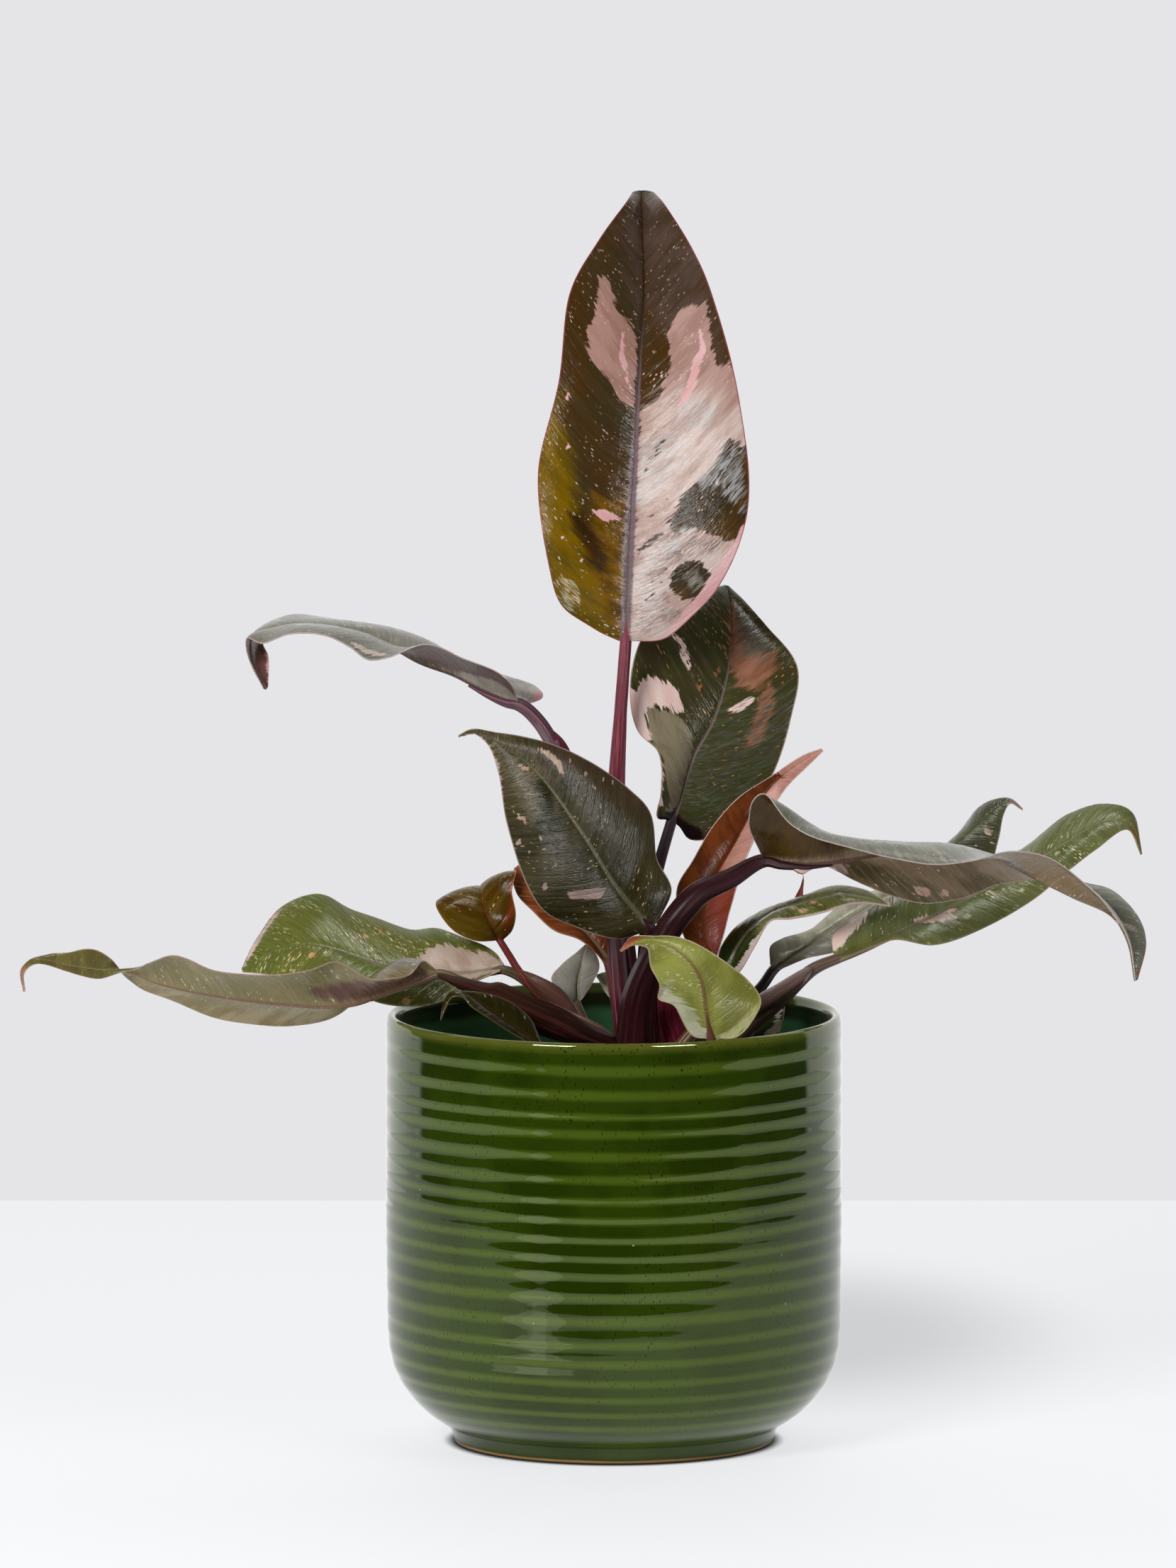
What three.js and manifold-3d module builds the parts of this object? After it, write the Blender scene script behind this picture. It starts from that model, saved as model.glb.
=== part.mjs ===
// Potted philodendron: a ribbed stoneware pot, its soil, the crown with all leaf stalks, and 18 leaf blades.
// Millimetres, +Z up. The origin is the centre of the pot's flat underside; -Y faces the viewer.
import * as THREE from 'three';
import { mergeVertices } from 'three/addons/utils/BufferGeometryUtils.js';
import Module from 'manifold-3d';

const wasm = await Module();
wasm.setup();

// Pot
const POT_RADIUS = 87.3;
const POT_SEGMENTS = 40;
const FOOT_RADIUS = 61.4;
const FOOT_FLAT_RADIUS = 59;
const FOOT_CHAMFER = 1.4;
const FOOT_HEIGHT = 6.5;
const SHOULDER_TOP = 50;
const WALL = 4.4;
const FLOOR = 9;
const INNER_RADIUS = POT_RADIUS - WALL;
// Inner outline of the pot's rounded bottom, as the distance in from the inner wall, and height.
const BASIN = [[24, FLOOR], [14, 15], [4, 30], [0, SHOULDER_TOP]];
const RIM_HEIGHT = 165.5;
const RIM_CREST_RADIUS = 85.2;
// The rounded rim, from outside to inside, as the distance out from its crest and the drop below it.
const RIM = [[2, 2.6], [1.3, 0.6], [0, 0], [-1.4, 0.7], [INNER_RADIUS - RIM_CREST_RADIUS, 3]];
// Outer outline of the rounded lower shoulder, as radius and height.
const SHOULDER = [
  [63.6, FOOT_HEIGHT], [70.9, 11.4], [74.7, 14.7], [80.2, 21.3], [83.7, 27.9], [85.9, 34.5],
  [POT_RADIUS, SHOULDER_TOP],
];
// Heights of the thrown ridges, from the shoulder to below the rim, unevenly spaced as by hand.
const RIDGES = [
  18, 24.5, 31, 38, 46.5, 54.5, 62.5, 72, 80, 88, 96, 103, 111.5, 120, 128, 135.5, 144.5, 153.5,
];
const RIDGE_RISE = 0.35;
const VALLEY_DROP = 0.3;
const LAST_VALLEY = 3.5;

// Soil and the hole that the crown stands in
const SOIL_TOP = 134;
const SOIL_GAP = 0.3;
const SOIL_CLEARANCE = 1;
const SOIL_MOUND = 2;
const SOIL_MOUND_RADIUS = 30;
const SOIL_SEGMENTS = 36;
const CROWN_X = 9;
const CROWN_Y = 1;
const CROWN_RADIUS = 15;
const CROWN_TOP = 140;
const CROWN_BOTTOM = 116;
const CROWN_BEVEL = 3;
const CROWN_SEGMENTS = 20;

// Blades and stalks
const BLADE_THICKNESS = 0.8;
const RIB_DEPTH = 1.1;
const BLADE_CAMBER = 0.07;
const BLADE_COLUMNS = 3;
const TIP_HALF_WIDTH = 0.6;
const STALK_SIDES = 8;
const STALK_GAP = 0.4;
const STALK_OVERRUN = 1.5;
const CUT_SIZE = 16;

// Each leaf has three rails of points from its base to its tip: the midrib and both margins, left and right
// as seen from the upper face with the tip pointing away. Its stalk runs from the blade's base to the crown.
const LEAVES = {
  leaf_tall: {
    color: 0x3b3a2a, rows: 14,
    rib: [[4.5, 8, 309], [6, 3, 346], [8, 0, 383], [10, 2, 419], [11.5, 8, 443], [11, 19, 462],
      [10.5, 36, 478]],
    left: [[2, 8, 308], [-8, 6, 313], [-20, 2, 322], [-25, -1, 339], [-29, -6, 374], [-21, -9, 410],
      [-17, -5, 443], [-6, 6, 462], [5, 23, 475], [9, 35, 478]],
    right: [[7, 8, 308], [19, 6, 309], [30, 3, 318], [40, -2, 330], [51, -10, 360], [48, -14, 402],
      [37, -6, 444], [30, 4, 459], [20, 18, 473], [12, 36, 478]],
    stalk: [[2.5, 10, 281], [1, 11, 254], [0, 9, 213], [0.5, 7, 194], [2, 5, 173], [6, 2, 136]],
    radii: [2.2, 2.4, 3.3, 3.4, 3.4, 3.6, 5],
  },
  leaf_left_high: {
    color: 0x75756a, rows: 18,
    rib: [[-35.5, 15, 283], [-48, 20, 287], [-61, 26, 293], [-74, 32, 297], [-94, 43, 306],
      [-118, 52, 309], [-131, 56, 307], [-139, 58, 304], [-140, 58, 298], [-138, 58, 290],
      [-134, 58, 283]],
    left: [[-37, 12, 284], [-39, 4, 291], [-45, 0, 297], [-57, 3, 301], [-72, 8, 306], [-86, 14, 301],
      [-94, 15, 300], [-101, 20, 304], [-110, 26, 307], [-124, 34, 307], [-135, 42, 303], [-141, 50, 304],
      [-140, 54, 296], [-135, 57, 284]],
    right: [[-34, 19, 282], [-32, 27, 281.5], [-27.5, 33, 283], [-31, 39, 286], [-41, 43, 289],
      [-56, 48, 294], [-71, 56, 302], [-86, 66, 306], [-104, 76, 307], [-122, 82, 308], [-131, 78, 305],
      [-135, 70, 300], [-133, 64, 295], [-133, 59, 284]],
    stalk: [[-28, 14, 275], [-18, 12, 256], [-8, 14, 232], [2, 18, 205], [6, 16, 180], [9, 10, 155],
      [11, 6, 136]],
    radii: [2.7, 2.8, 2.9, 3, 3.1, 3.3, 3.8, 4.5],
  },
  leaf_centre: {
    color: 0x474b40, rows: 12,
    rib: [[14, -18, 201], [1, -25, 217], [-12, -35, 239], [-30, -47, 265], [-43, -56, 276],
      [-51, -60, 281], [-59, -62, 280]],
    left: [[12, -17, 199], [3, -20, 197], [-14, -28, 202], [-26, -36, 209], [-33, -43, 220],
      [-41, -50, 246], [-44, -54, 265], [-48, -58, 276], [-54, -61, 281], [-59, -62, 279.5]],
    right: [[17, -17, 203], [22, -16, 215], [16, -16, 227], [14, -18, 245], [6, -24, 255], [-8, -34, 266],
      [-24, -45, 275], [-44, -56, 281], [-54, -60, 282.5], [-59, -62, 280.5]],
    stalk: [[13, -12, 194], [9, -8, 176], [7, -4, 152], [8, -3, 136]],
    radii: [2.1, 2.4, 2.8, 3.4, 4],
  },
  leaf_back: {
    color: 0x3a3d2c, rows: 12,
    rib: [[22.5, 26, 236], [25, 28, 243], [30, 30, 260], [38, 34, 274], [43, 38, 289], [45, 43, 303],
      [45, 50, 315], [43.5, 60, 323]],
    left: [[20, 25, 237], [16.5, 22, 238], [18, 19, 249], [17, 18, 264], [9, 20, 272], [6, 22, 287],
      [10, 30, 305], [21, 42, 316], [37, 56, 322], [42.5, 61, 323]],
    right: [[25.5, 26.5, 234], [29, 26.5, 229], [38, 27, 229.5], [50, 29, 238], [61, 31, 253],
      [68, 34, 275], [70.5, 38, 294], [59, 46, 309], [50, 54, 318], [44.5, 61, 322.5]],
    stalk: [[18, 23, 222], [14, 20, 206], [12, 17, 185], [11, 12, 160], [11, 7, 136]],
    radii: [2.1, 2.3, 2.6, 3, 3.6, 4.5],
  },
  leaf_rolled: {
    color: 0x8a4a2c, rows: 12,
    rib: [[37.5, 8, 186], [34.5, 9, 199], [38, 12, 214], [46, 16, 228], [53, 20, 240], [63, 25, 252],
      [80, 28, 263.5]],
    left: [[35, 7, 187], [28, 5, 192], [24, 6, 212], [30, 9, 223], [38, 14, 236], [48, 18, 246.5],
      [60.5, 24, 254], [73, 27.5, 261.5], [79.5, 28, 264]],
    right: [[39.5, 8, 186], [42, 6, 194], [44.5, 6, 204], [51, 9, 224], [57, 13, 236], [64, 21, 247],
      [72, 26, 255], [80.5, 28, 263]],
    stalk: [[33, 8, 177], [26, 6, 163], [19, 5, 150], [14, 4, 136]],
    radii: [2, 2.3, 2.8, 3.3, 4],
  },
  leaf_right_high: {
    color: 0x6d6154, rows: 24,
    rib: [[57.5, -38, 230], [76, -44, 229], [98, -50, 233], [114, -54, 237], [129, -58, 238],
      [145, -62, 234], [157, -66, 228], [174, -71, 220], [189, -75, 213], [195, -77, 203],
      [197.5, -78, 188.5]],
    left: [[58.5, -34, 227], [67, -12, 223], [72, -8, 220], [78, -12, 224], [92, -24, 220],
      [105, -30, 215], [118, -34, 212], [133, -39, 215], [146, -43, 221], [168, -53, 224], [180, -58, 223],
      [190, -63, 221], [200, -69, 211], [202, -73, 202], [198.5, -77, 189]],
    right: [[56, -42, 232], [51, -54, 246], [53, -61, 256], [57, -63, 258], [67, -66, 247],
      [85, -72, 240], [103, -78, 235], [118, -83, 234], [136, -86, 236], [150, -86, 239], [165, -86, 237],
      [177, -86, 228], [188, -85, 216], [195, -82, 205], [197.5, -79, 189]],
    stalk: [[44, -37, 222], [32, -36, 216], [23, -33, 205], [16, -28, 192], [10, -20, 176], [8, -12, 158],
      [9, -5, 136]],
    radii: [2.6, 3.9, 4.8, 4.9, 5.6, 6.4, 7.4, 8],
  },
  leaf_right_grey: {
    color: 0x6b7266, rows: 14,
    rib: [[61.5, 16, 180.5], [72, 20, 187], [88, 28, 197], [107, 36, 208], [126, 44, 221], [140, 50, 232],
      [152, 54, 240], [157.5, 54, 237]],
    left: [[60, 16, 182], [60, 15, 189], [65, 19, 192], [77, 28, 194], [89, 38, 203], [102, 46, 208],
      [131, 57, 225], [142, 59, 237], [152, 56, 241], [157.5, 54, 237.5]],
    right: [[63.5, 15, 180], [74, 14, 185], [84, 18, 186], [102, 24, 191], [123, 32, 202], [143, 40, 213],
      [148, 46, 226], [150, 51, 235], [153, 53, 239.5], [157.5, 54, 236.5]],
    stalk: [[57, 15, 174], [48, 13, 165], [34, 10, 153], [22, 7, 143], [15, 5, 136]],
    radii: [1.9, 2.1, 2.6, 3.2, 3.6, 4],
  },
  leaf_right_green: {
    color: 0x5f7a3a, rows: 16,
    rib: [[85, -6, 187.5], [99, -2, 192], [118, 4, 200], [139, 10, 210], [158, 14, 220], [175, 16, 230],
      [188, 18, 237], [198, 18, 236], [202.5, 18, 224.5]],
    left: [[84, -6, 189], [83.5, -5, 196], [93, 0, 203], [115, 12, 213], [134, 20, 220], [155, 26, 225],
      [174, 28, 238], [189, 26, 242], [199, 22, 239], [202.5, 18, 225]],
    right: [[86.5, -7, 186.5], [100, -8, 192], [107, -5, 194], [122, -4, 192], [141, 0, 198],
      [161, 4, 209], [175, 8, 220], [185, 12, 227], [197, 16, 234], [202, 18, 224]],
    stalk: [[76, -6, 183], [64, -5, 172], [53, -3, 163], [38, -1, 150], [22, 0, 142], [15, 0, 136]],
    radii: [2, 2.6, 3.4, 3.7, 3.6, 3.8, 4],
  },
  leaf_right_small: {
    color: 0x6c7350, rows: 14,
    rib: [[43, -8, 181], [47.5, -10, 192], [55, -12, 202], [63, -13, 207], [71, -14, 209.5],
      [85, -15, 213], [97, -15, 212], [105.5, -15, 209]],
    left: [[41, -7, 182], [40, -4, 189], [46, 0, 197], [56, 1, 203.5], [64, -4, 208], [72, -8, 212],
      [83, -8, 215.5], [94, -10, 214], [105.5, -15, 209.5]],
    right: [[44.5, -10, 180], [48, -16, 184], [54, -21, 195], [60, -23, 204], [67, -22, 204.5],
      [79, -21, 207], [91, -19, 210], [105.5, -15, 208.5]],
    stalk: [[39, -7, 172], [31, -5, 160], [21, -3, 147], [14, -2, 136]],
    radii: [1.7, 2, 2.6, 3.2, 3.6],
  },
  leaf_front: {
    color: 0x8d9358, rows: 14,
    rib: [[37, -50, 162], [35, -52, 174], [33, -54, 186], [28, -55, 194], [21, -54, 198.5],
      [12, -50, 200], [2.5, -44, 195.5]],
    left: [[38.5, -51, 162.5], [47, -56, 164], [54, -60, 173], [56, -61, 179], [51.5, -61, 186],
      [39, -60, 195], [25, -57, 201.5], [16, -54, 202.5], [7, -49, 202], [2.5, -44, 196]],
    right: [[35.5, -51, 162.5], [30, -54, 164], [23, -57, 176], [16.5, -59, 179], [17, -59, 184],
      [14, -58, 191], [13, -55, 198], [8, -50, 198], [3, -44, 195]],
    stalk: [[33, -43, 156], [26, -28, 149], [18, -14, 143], [13, -6, 136]],
    radii: [1.8, 2.1, 2.6, 3.2, 3.6],
  },
  leaf_right_dark: {
    color: 0x3c4a2e, rows: 8,
    rib: [[49.5, 8, 151], [53.5, 10, 157], [58, 13, 164], [65, 17, 171]],
    left: [[48, 7, 151.5], [48.5, 6, 158], [52, 9, 164], [64.5, 17, 171]],
    right: [[51, 8, 150], [61, 6, 152], [64, 8, 158], [65.5, 11, 165], [65.5, 17, 170.5]],
    stalk: [[40, 6, 147], [24, 3, 141], [16, 2, 136]],
    radii: [1.6, 2.2, 3, 3.4],
  },
  leaf_left_low: {
    color: 0x8c8b66, rows: 30,
    rib: [[-67.5, -28, 185], [-77, -31, 182], [-88, -34, 178], [-98, -37, 174.5], [-110, -40, 173.5],
      [-124, -44, 175], [-138, -48, 177], [-159, -53, 181], [-174, -56, 185], [-184.5, -58, 189.5],
      [-196, -60, 190.5], [-208, -62, 192.5], [-221, -64, 195], [-225, -64, 190.5], [-224, -64, 182.5]],
    left: [[-68.5, -30, 186.5], [-73, -36, 190.5], [-77.5, -42, 186], [-82, -46, 185], [-92, -50, 185.5],
      [-100, -53, 190], [-106, -55, 192.5], [-115, -58, 190], [-129, -61, 189], [-152, -66, 190.5],
      [-163, -68, 195.5], [-168, -68, 196.5], [-176, -66, 194], [-184.5, -62, 190.5], [-191, -60, 188],
      [-196, -60, 187], [-208, -62, 190.5], [-220, -65, 193], [-224, -65, 189.5], [-223.5, -64, 182.5]],
    right: [[-67, -26, 185], [-74, -14, 188], [-82, -10, 187.5], [-88, -10, 183.5], [-95, -13, 176.5],
      [-101, -17, 170.5], [-108, -21, 166.5], [-119, -26, 164], [-131, -31, 164], [-153, -37, 169.5],
      [-165, -42, 174.5], [-179, -48, 181], [-186.5, -54, 188.5], [-192, -57.5, 194.5],
      [-198, -59, 197.5], [-206, -60, 196], [-217, -62, 195.5], [-225, -63, 191.5], [-224.5, -64, 182.5]],
    stalk: [[-59, -25, 181], [-48, -22, 176], [-37, -19, 172], [-20, -15, 164], [-4, -9, 155],
      [9, -2, 136]],
    radii: [1.9, 2.3, 4.2, 5, 5, 4.8, 4.6],
    depth: 0.6,
  },
  leaf_left_green: {
    color: 0x5c6e38, rows: 14,
    rib: [[-43, -2, 183], [-56, 0, 180.5], [-72, 3, 181], [-87, 6, 183], [-97, 9, 185.5],
      [-107, 12, 188.5], [-118, 15, 190], [-131, 18, 186.5], [-142.5, 22, 179]],
    left: [[-43.5, -4, 182], [-52, -8, 179.5], [-60, -12, 174.5], [-68, -14, 170.5], [-77, -12, 169.5],
      [-87, -9, 170], [-98, -4, 172.5], [-115, 4, 175.5], [-132, 14, 178], [-142.5, 22, 178]],
    right: [[-42, 0, 184], [-45, 6, 187.5], [-56, 14, 191.5], [-68, 20, 196], [-79, 24, 194],
      [-99, 30, 200], [-113, 33, 207], [-127, 32, 202.5], [-137, 28, 191], [-143, 23, 179]],
    stalk: [[-38, 0, 180.5], [-33, 2, 177], [-26, 4, 171], [-12, 5, 160], [0, 4, 150], [6, 2, 136]],
    radii: [1.8, 2, 2.2, 2.6, 3.2, 3.8, 4.4],
  },
  leaf_olive: {
    color: 0x6b6a2c, rows: 10,
    rib: [[-44, 4, 193.5], [-47.5, 2, 200], [-50, 4, 207], [-51.5, 11, 212], [-50.5, 22, 211],
      [-48.5, 32, 204.5]],
    left: [[-45.5, 3, 193], [-52, 0, 193], [-61, -1, 197], [-67, 1, 204], [-68, 7, 207.5], [-61, 18, 208],
      [-49, 31, 204.5]],
    right: [[-42.5, 5, 193], [-39, 2, 197], [-37.5, 0, 203.5], [-39, 3, 212], [-37.5, 12, 219],
      [-42, 24, 214.5], [-48, 33, 204.5]],
    stalk: [[-40, 3, 187], [-36, 0, 181], [-28, -4, 173], [-16, -5, 164], [-5, -4, 153], [6, -2, 136]],
    radii: [1.3, 1.4, 1.7, 3.4, 3.6, 3.8, 4.2],
    depth: 0.7,
  },
  leaf_russet: {
    color: 0x6e4a24, rows: 10,
    rib: [[-2, 16, 183], [-10, 16, 193], [-20, 16, 203], [-30, 17, 212], [-37.5, 20, 219]],
    left: [[-3, 15, 182], [-13, 11, 192], [-23, 10, 196], [-31, 11, 203], [-37, 14, 209], [-39, 17, 216],
      [-38, 20, 219]],
    right: [[-1, 17, 184], [-1, 17, 193], [-6, 18, 204], [-15, 19, 212], [-24, 20, 218],
      [-37, 21, 219.5]],
    stalk: [[0, 14, 172], [4, 9, 155], [7, 5, 136]],
    radii: [1.8, 2.3, 3, 3.6],
  },
  leaf_grey_small: {
    color: 0x84827c, rows: 8,
    rib: [[-14, 24, 166.5], [-14, 24, 174], [-12.5, 27, 181], [-10.5, 31, 187.5]],
    left: [[-15.5, 23, 167], [-20, 20, 170], [-24, 20, 176], [-20, 23, 181], [-14.5, 28, 185],
      [-11, 31, 187.5]],
    right: [[-12.5, 24, 167], [-8, 26, 174], [-5.5, 29, 179], [-6.5, 31, 183.5], [-10, 31, 187.5]],
    stalk: [[-10, 19, 157], [-2, 12, 147], [4, 7, 136]],
    radii: [1.5, 2, 2.8, 3.4],
  },
  leaf_sage_small: {
    color: 0x6a7560, rows: 8,
    rib: [[6.5, 32, 164.5], [1, 34, 168], [-3.5, 36, 171.5], [-6.5, 38, 174.5]],
    left: [[6, 31, 163.5], [1.5, 30, 165.5], [-3.5, 32, 170], [-6.5, 38, 174]],
    right: [[8, 33, 165.5], [6, 37, 172.5], [1.5, 39, 175], [-3, 39, 175.5], [-6.5, 38, 175]],
    stalk: [[9, 25, 157], [11, 15, 147], [11, 8, 136]],
    radii: [1.5, 2, 2.8, 3.4],
  },
  leaf_left_dark: {
    color: 0x38341f, rows: 12,
    rib: [[-28.5, -38, 158], [-39, -39, 166], [-47.5, -40, 172], [-57, -42, 178.5], [-62, -42, 178.5],
      [-65, -42, 174], [-66, -42, 168.5]],
    left: [[-29.5, -40, 157.5], [-39.5, -44, 164], [-46, -46, 168], [-54, -46, 173.5],
      [-58, -43.5, 177.5], [-61.5, -43, 177.5], [-64, -43, 173.5], [-66, -42.5, 168.5]],
    right: [[-27.5, -36, 158.5], [-31.5, -33, 167], [-41, -33, 174], [-49, -36, 177.5],
      [-57, -40.5, 179.5], [-62.5, -41, 179.5], [-65.5, -41, 174.5], [-66, -41.5, 168.5]],
    stalk: [[-20, -30, 152], [-7, -17, 145], [5, -6, 136]],
    radii: [1.5, 2, 2.8, 3.4],
  },
};

function rail(points) {
  const places = points.map((p) => new THREE.Vector3(...p));
  return new THREE.CatmullRomCurve3(places, false, 'centripetal');
}

function ribDirection(leaf) {
  return new THREE.Vector3(...leaf.rib[1]).sub(new THREE.Vector3(...leaf.rib[0])).normalize();
}

// Middle surface of a blade: rows run along the midrib and columns from the left margin to the right one.
// The first row is square to the midrib, where the stalk meets it. The last one is a narrow blunt tip.
function bladeRows(leaf) {
  const rib = rail(leaf.rib);
  const left = rail(leaf.left);
  const right = rail(leaf.right);
  const rows = [];
  for (let i = 0; i <= leaf.rows; i += 1) {
    const along = i / leaf.rows;
    const middle = rib.getPointAt(along);
    const tangent = i === 0 ? ribDirection(leaf) : rib.getTangentAt(along);
    const row = [];
    for (let j = -BLADE_COLUMNS; j <= BLADE_COLUMNS; j += 1) {
      const across = Math.abs(j) / BLADE_COLUMNS;
      const margin = (j < 0 ? left : right).getPointAt(along);
      const half = margin.sub(middle);
      if (i === leaf.rows) {
        const before = rows[i - 1];
        half.copy(before[2 * BLADE_COLUMNS]).sub(before[0]);
      }
      if (i === 0 || i === leaf.rows) half.projectOnPlane(tangent);
      if (i === leaf.rows) half.setLength(j < 0 ? -TIP_HALF_WIDTH : TIP_HALF_WIDTH);
      const up = j < 0 ? tangent.clone().cross(half) : half.clone().cross(tangent);
      const lift = BLADE_CAMBER * 4 * across * (1 - across) * half.length();
      row.push(middle.clone().addScaledVector(half, across).addScaledVector(up.normalize(), lift));
    }
    rows.push(row);
  }
  return rows;
}

// Directions square to the surface at each grid point. The end rows take their run from the midrib alone.
function gridNormals(rows) {
  const last = rows.length - 1;
  const width = rows[0].length - 1;
  return rows.map((row, i) => row.map((point, j) => {
    const column = i === 0 || i === last ? BLADE_COLUMNS : j;
    const along = rows[Math.min(i + 1, last)][column].clone().sub(rows[Math.max(i - 1, 0)][column]);
    const across = row[Math.min(j + 1, width)].clone().sub(row[Math.max(j - 1, 0)]);
    return across.cross(along).normalize();
  }));
}

// The two faces share their diagonals, which fan out from the midrib. A strip along the outline closes them.
function bladeGeometry(leaf) {
  const rows = bladeRows(leaf);
  const normals = gridNormals(rows);
  const width = rows[0].length;
  const count = rows.length * width;
  const upper = [];
  const lower = [];
  rows.forEach((row, i) => row.forEach((point, j) => {
    const ribDepth = j === BLADE_COLUMNS ? RIB_DEPTH * (1 - i / leaf.rows) : 0;
    const normal = normals[i][j];
    upper.push(...point.clone().addScaledVector(normal, BLADE_THICKNESS / 2));
    lower.push(...point.clone().addScaledVector(normal, -BLADE_THICKNESS / 2 - ribDepth));
  }));
  const index = [];
  for (let i = 0; i < rows.length - 1; i += 1) {
    for (let j = 0; j < width - 1; j += 1) {
      const a = i * width + j;
      const [b, c, d] = [a + 1, a + width + 1, a + width];
      const halves = j < BLADE_COLUMNS ? [a, b, c, a, c, d] : [a, b, d, b, c, d];
      index.push(...halves);
      index.push(...halves.map((corner) => corner + count).reverse());
    }
  }
  const outline = [];
  const last = (rows.length - 1) * width;
  for (let j = 0; j < width - 1; j += 1) outline.push(j);
  for (let i = 0; i < last; i += width) outline.push(i + width - 1);
  for (let j = width - 1; j > 0; j -= 1) outline.push(last + j);
  for (let i = last; i > 0; i -= width) outline.push(i);
  outline.forEach((a, k) => {
    const b = outline[(k + 1) % outline.length];
    index.push(a, count + a, count + b, a, count + b, b);
  });
  const geometry = new THREE.BufferGeometry();
  geometry.setAttribute('position', new THREE.Float32BufferAttribute([...upper, ...lower], 3));
  geometry.setIndex(index);
  return geometry;
}

// A stalk has oval rings across its path, wide in the picture plane and shallower front to back.
function stalkGeometry(leaf) {
  const start = new THREE.Vector3(...leaf.rib[0]).addScaledVector(ribDirection(leaf), STALK_OVERRUN);
  const path = rail([start.toArray(), ...leaf.stalk]);
  const steps = 2 * leaf.stalk.length;
  const depth = leaf.depth ?? 0.9;
  const positions = [];
  for (let i = 0; i <= steps; i += 1) {
    const along = i / steps;
    const centre = path.getPoint(along);
    const tangent = path.getTangent(along);
    const side = tangent.clone().cross(new THREE.Vector3(0, 1, 0)).normalize();
    const front = side.clone().cross(tangent).normalize();
    const place = along * (leaf.radii.length - 1);
    const lower = Math.min(Math.floor(place), leaf.radii.length - 2);
    const radius = THREE.MathUtils.lerp(leaf.radii[lower], leaf.radii[lower + 1], place - lower);
    for (let k = 0; k < STALK_SIDES; k += 1) {
      const angle = (k / STALK_SIDES) * 2 * Math.PI;
      const point = centre.clone()
        .addScaledVector(side, radius * Math.cos(angle))
        .addScaledVector(front, radius * depth * Math.sin(angle));
      positions.push(...point);
    }
  }
  const index = [];
  for (let i = 0; i < steps; i += 1) {
    for (let k = 0; k < STALK_SIDES; k += 1) {
      const a = i * STALK_SIDES + k;
      const b = i * STALK_SIDES + ((k + 1) % STALK_SIDES);
      index.push(a, b + STALK_SIDES, b, a, a + STALK_SIDES, b + STALK_SIDES);
    }
  }
  const end = steps * STALK_SIDES;
  for (let k = 1; k < STALK_SIDES - 1; k += 1) {
    index.push(0, k, k + 1);
    index.push(end, end + k + 1, end + k);
  }
  const geometry = new THREE.BufferGeometry();
  geometry.setAttribute('position', new THREE.Float32BufferAttribute(positions, 3));
  geometry.setIndex(index);
  return geometry;
}

function toManifold(geometry) {
  const bare = geometry.clone();
  bare.deleteAttribute('normal');
  bare.deleteAttribute('uv');
  const merged = mergeVertices(bare, 1e-4);
  const mesh = new wasm.Mesh({
    numProp: 3,
    vertProperties: new Float32Array(merged.attributes.position.array),
    triVerts: new Uint32Array(merged.index.array),
  });
  return new wasm.Manifold(mesh);
}

function toGeometry(manifold) {
  const mesh = manifold.getMesh();
  const geometry = new THREE.BufferGeometry();
  geometry.setAttribute('position', new THREE.BufferAttribute(new Float32Array(mesh.vertProperties), 3));
  geometry.setIndex(new THREE.BufferAttribute(new Uint32Array(mesh.triVerts), 1));
  return geometry;
}

// The stalk's end is cut square to the midrib, just short of the blade.
function stalkSolid(leaf) {
  const direction = ribDirection(leaf);
  const turn = new THREE.Quaternion().setFromUnitVectors(new THREE.Vector3(0, 0, 1), direction);
  const middle = new THREE.Vector3(...leaf.rib[0]).addScaledVector(direction, CUT_SIZE / 2 - STALK_GAP);
  const cutter = new THREE.BoxGeometry(CUT_SIZE, CUT_SIZE, CUT_SIZE)
    .applyQuaternion(turn)
    .translate(middle.x, middle.y, middle.z);
  return toManifold(stalkGeometry(leaf)).subtract(toManifold(cutter));
}

// A solid of revolution from a closed outline that starts and ends on the axis, bottom first.
function turned(outline, segments) {
  const geometry = new THREE.LatheGeometry(outline.map(([r, z]) => new THREE.Vector2(r, z)), segments);
  return geometry.rotateX(Math.PI / 2);
}

function outerRadius(height) {
  if (height >= SHOULDER_TOP) return POT_RADIUS;
  const curve = new THREE.SplineCurve(SHOULDER.map(([r, z]) => new THREE.Vector2(r, z)));
  let [low, high] = [0, 1];
  for (let step = 0; step < 30; step += 1) {
    const middle = (low + high) / 2;
    if (curve.getPoint(middle).y < height) low = middle;
    else high = middle;
  }
  return curve.getPoint(low).x;
}

function potGeometry() {
  const [foot, ...shoulder] = SHOULDER;
  const outline = [
    [0, 0], [FOOT_FLAT_RADIUS, 0], [FOOT_RADIUS, FOOT_CHAMFER], foot, ...shoulder.slice(0, 2),
  ];
  RIDGES.forEach((height, i) => {
    outline.push([outerRadius(height) + RIDGE_RISE, height]);
    const valley = i + 1 < RIDGES.length ? (height + RIDGES[i + 1]) / 2 : height + LAST_VALLEY;
    outline.push([outerRadius(valley) - VALLEY_DROP, valley]);
  });
  const rim = RIM.map(([out, drop]) => [RIM_CREST_RADIUS + out, RIM_HEIGHT - drop]);
  const basin = BASIN.map(([inset, height]) => [INNER_RADIUS - inset, height]).reverse();
  outline.push(...rim, ...basin, [0, FLOOR]);
  return turned(outline, POT_SEGMENTS);
}

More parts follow.
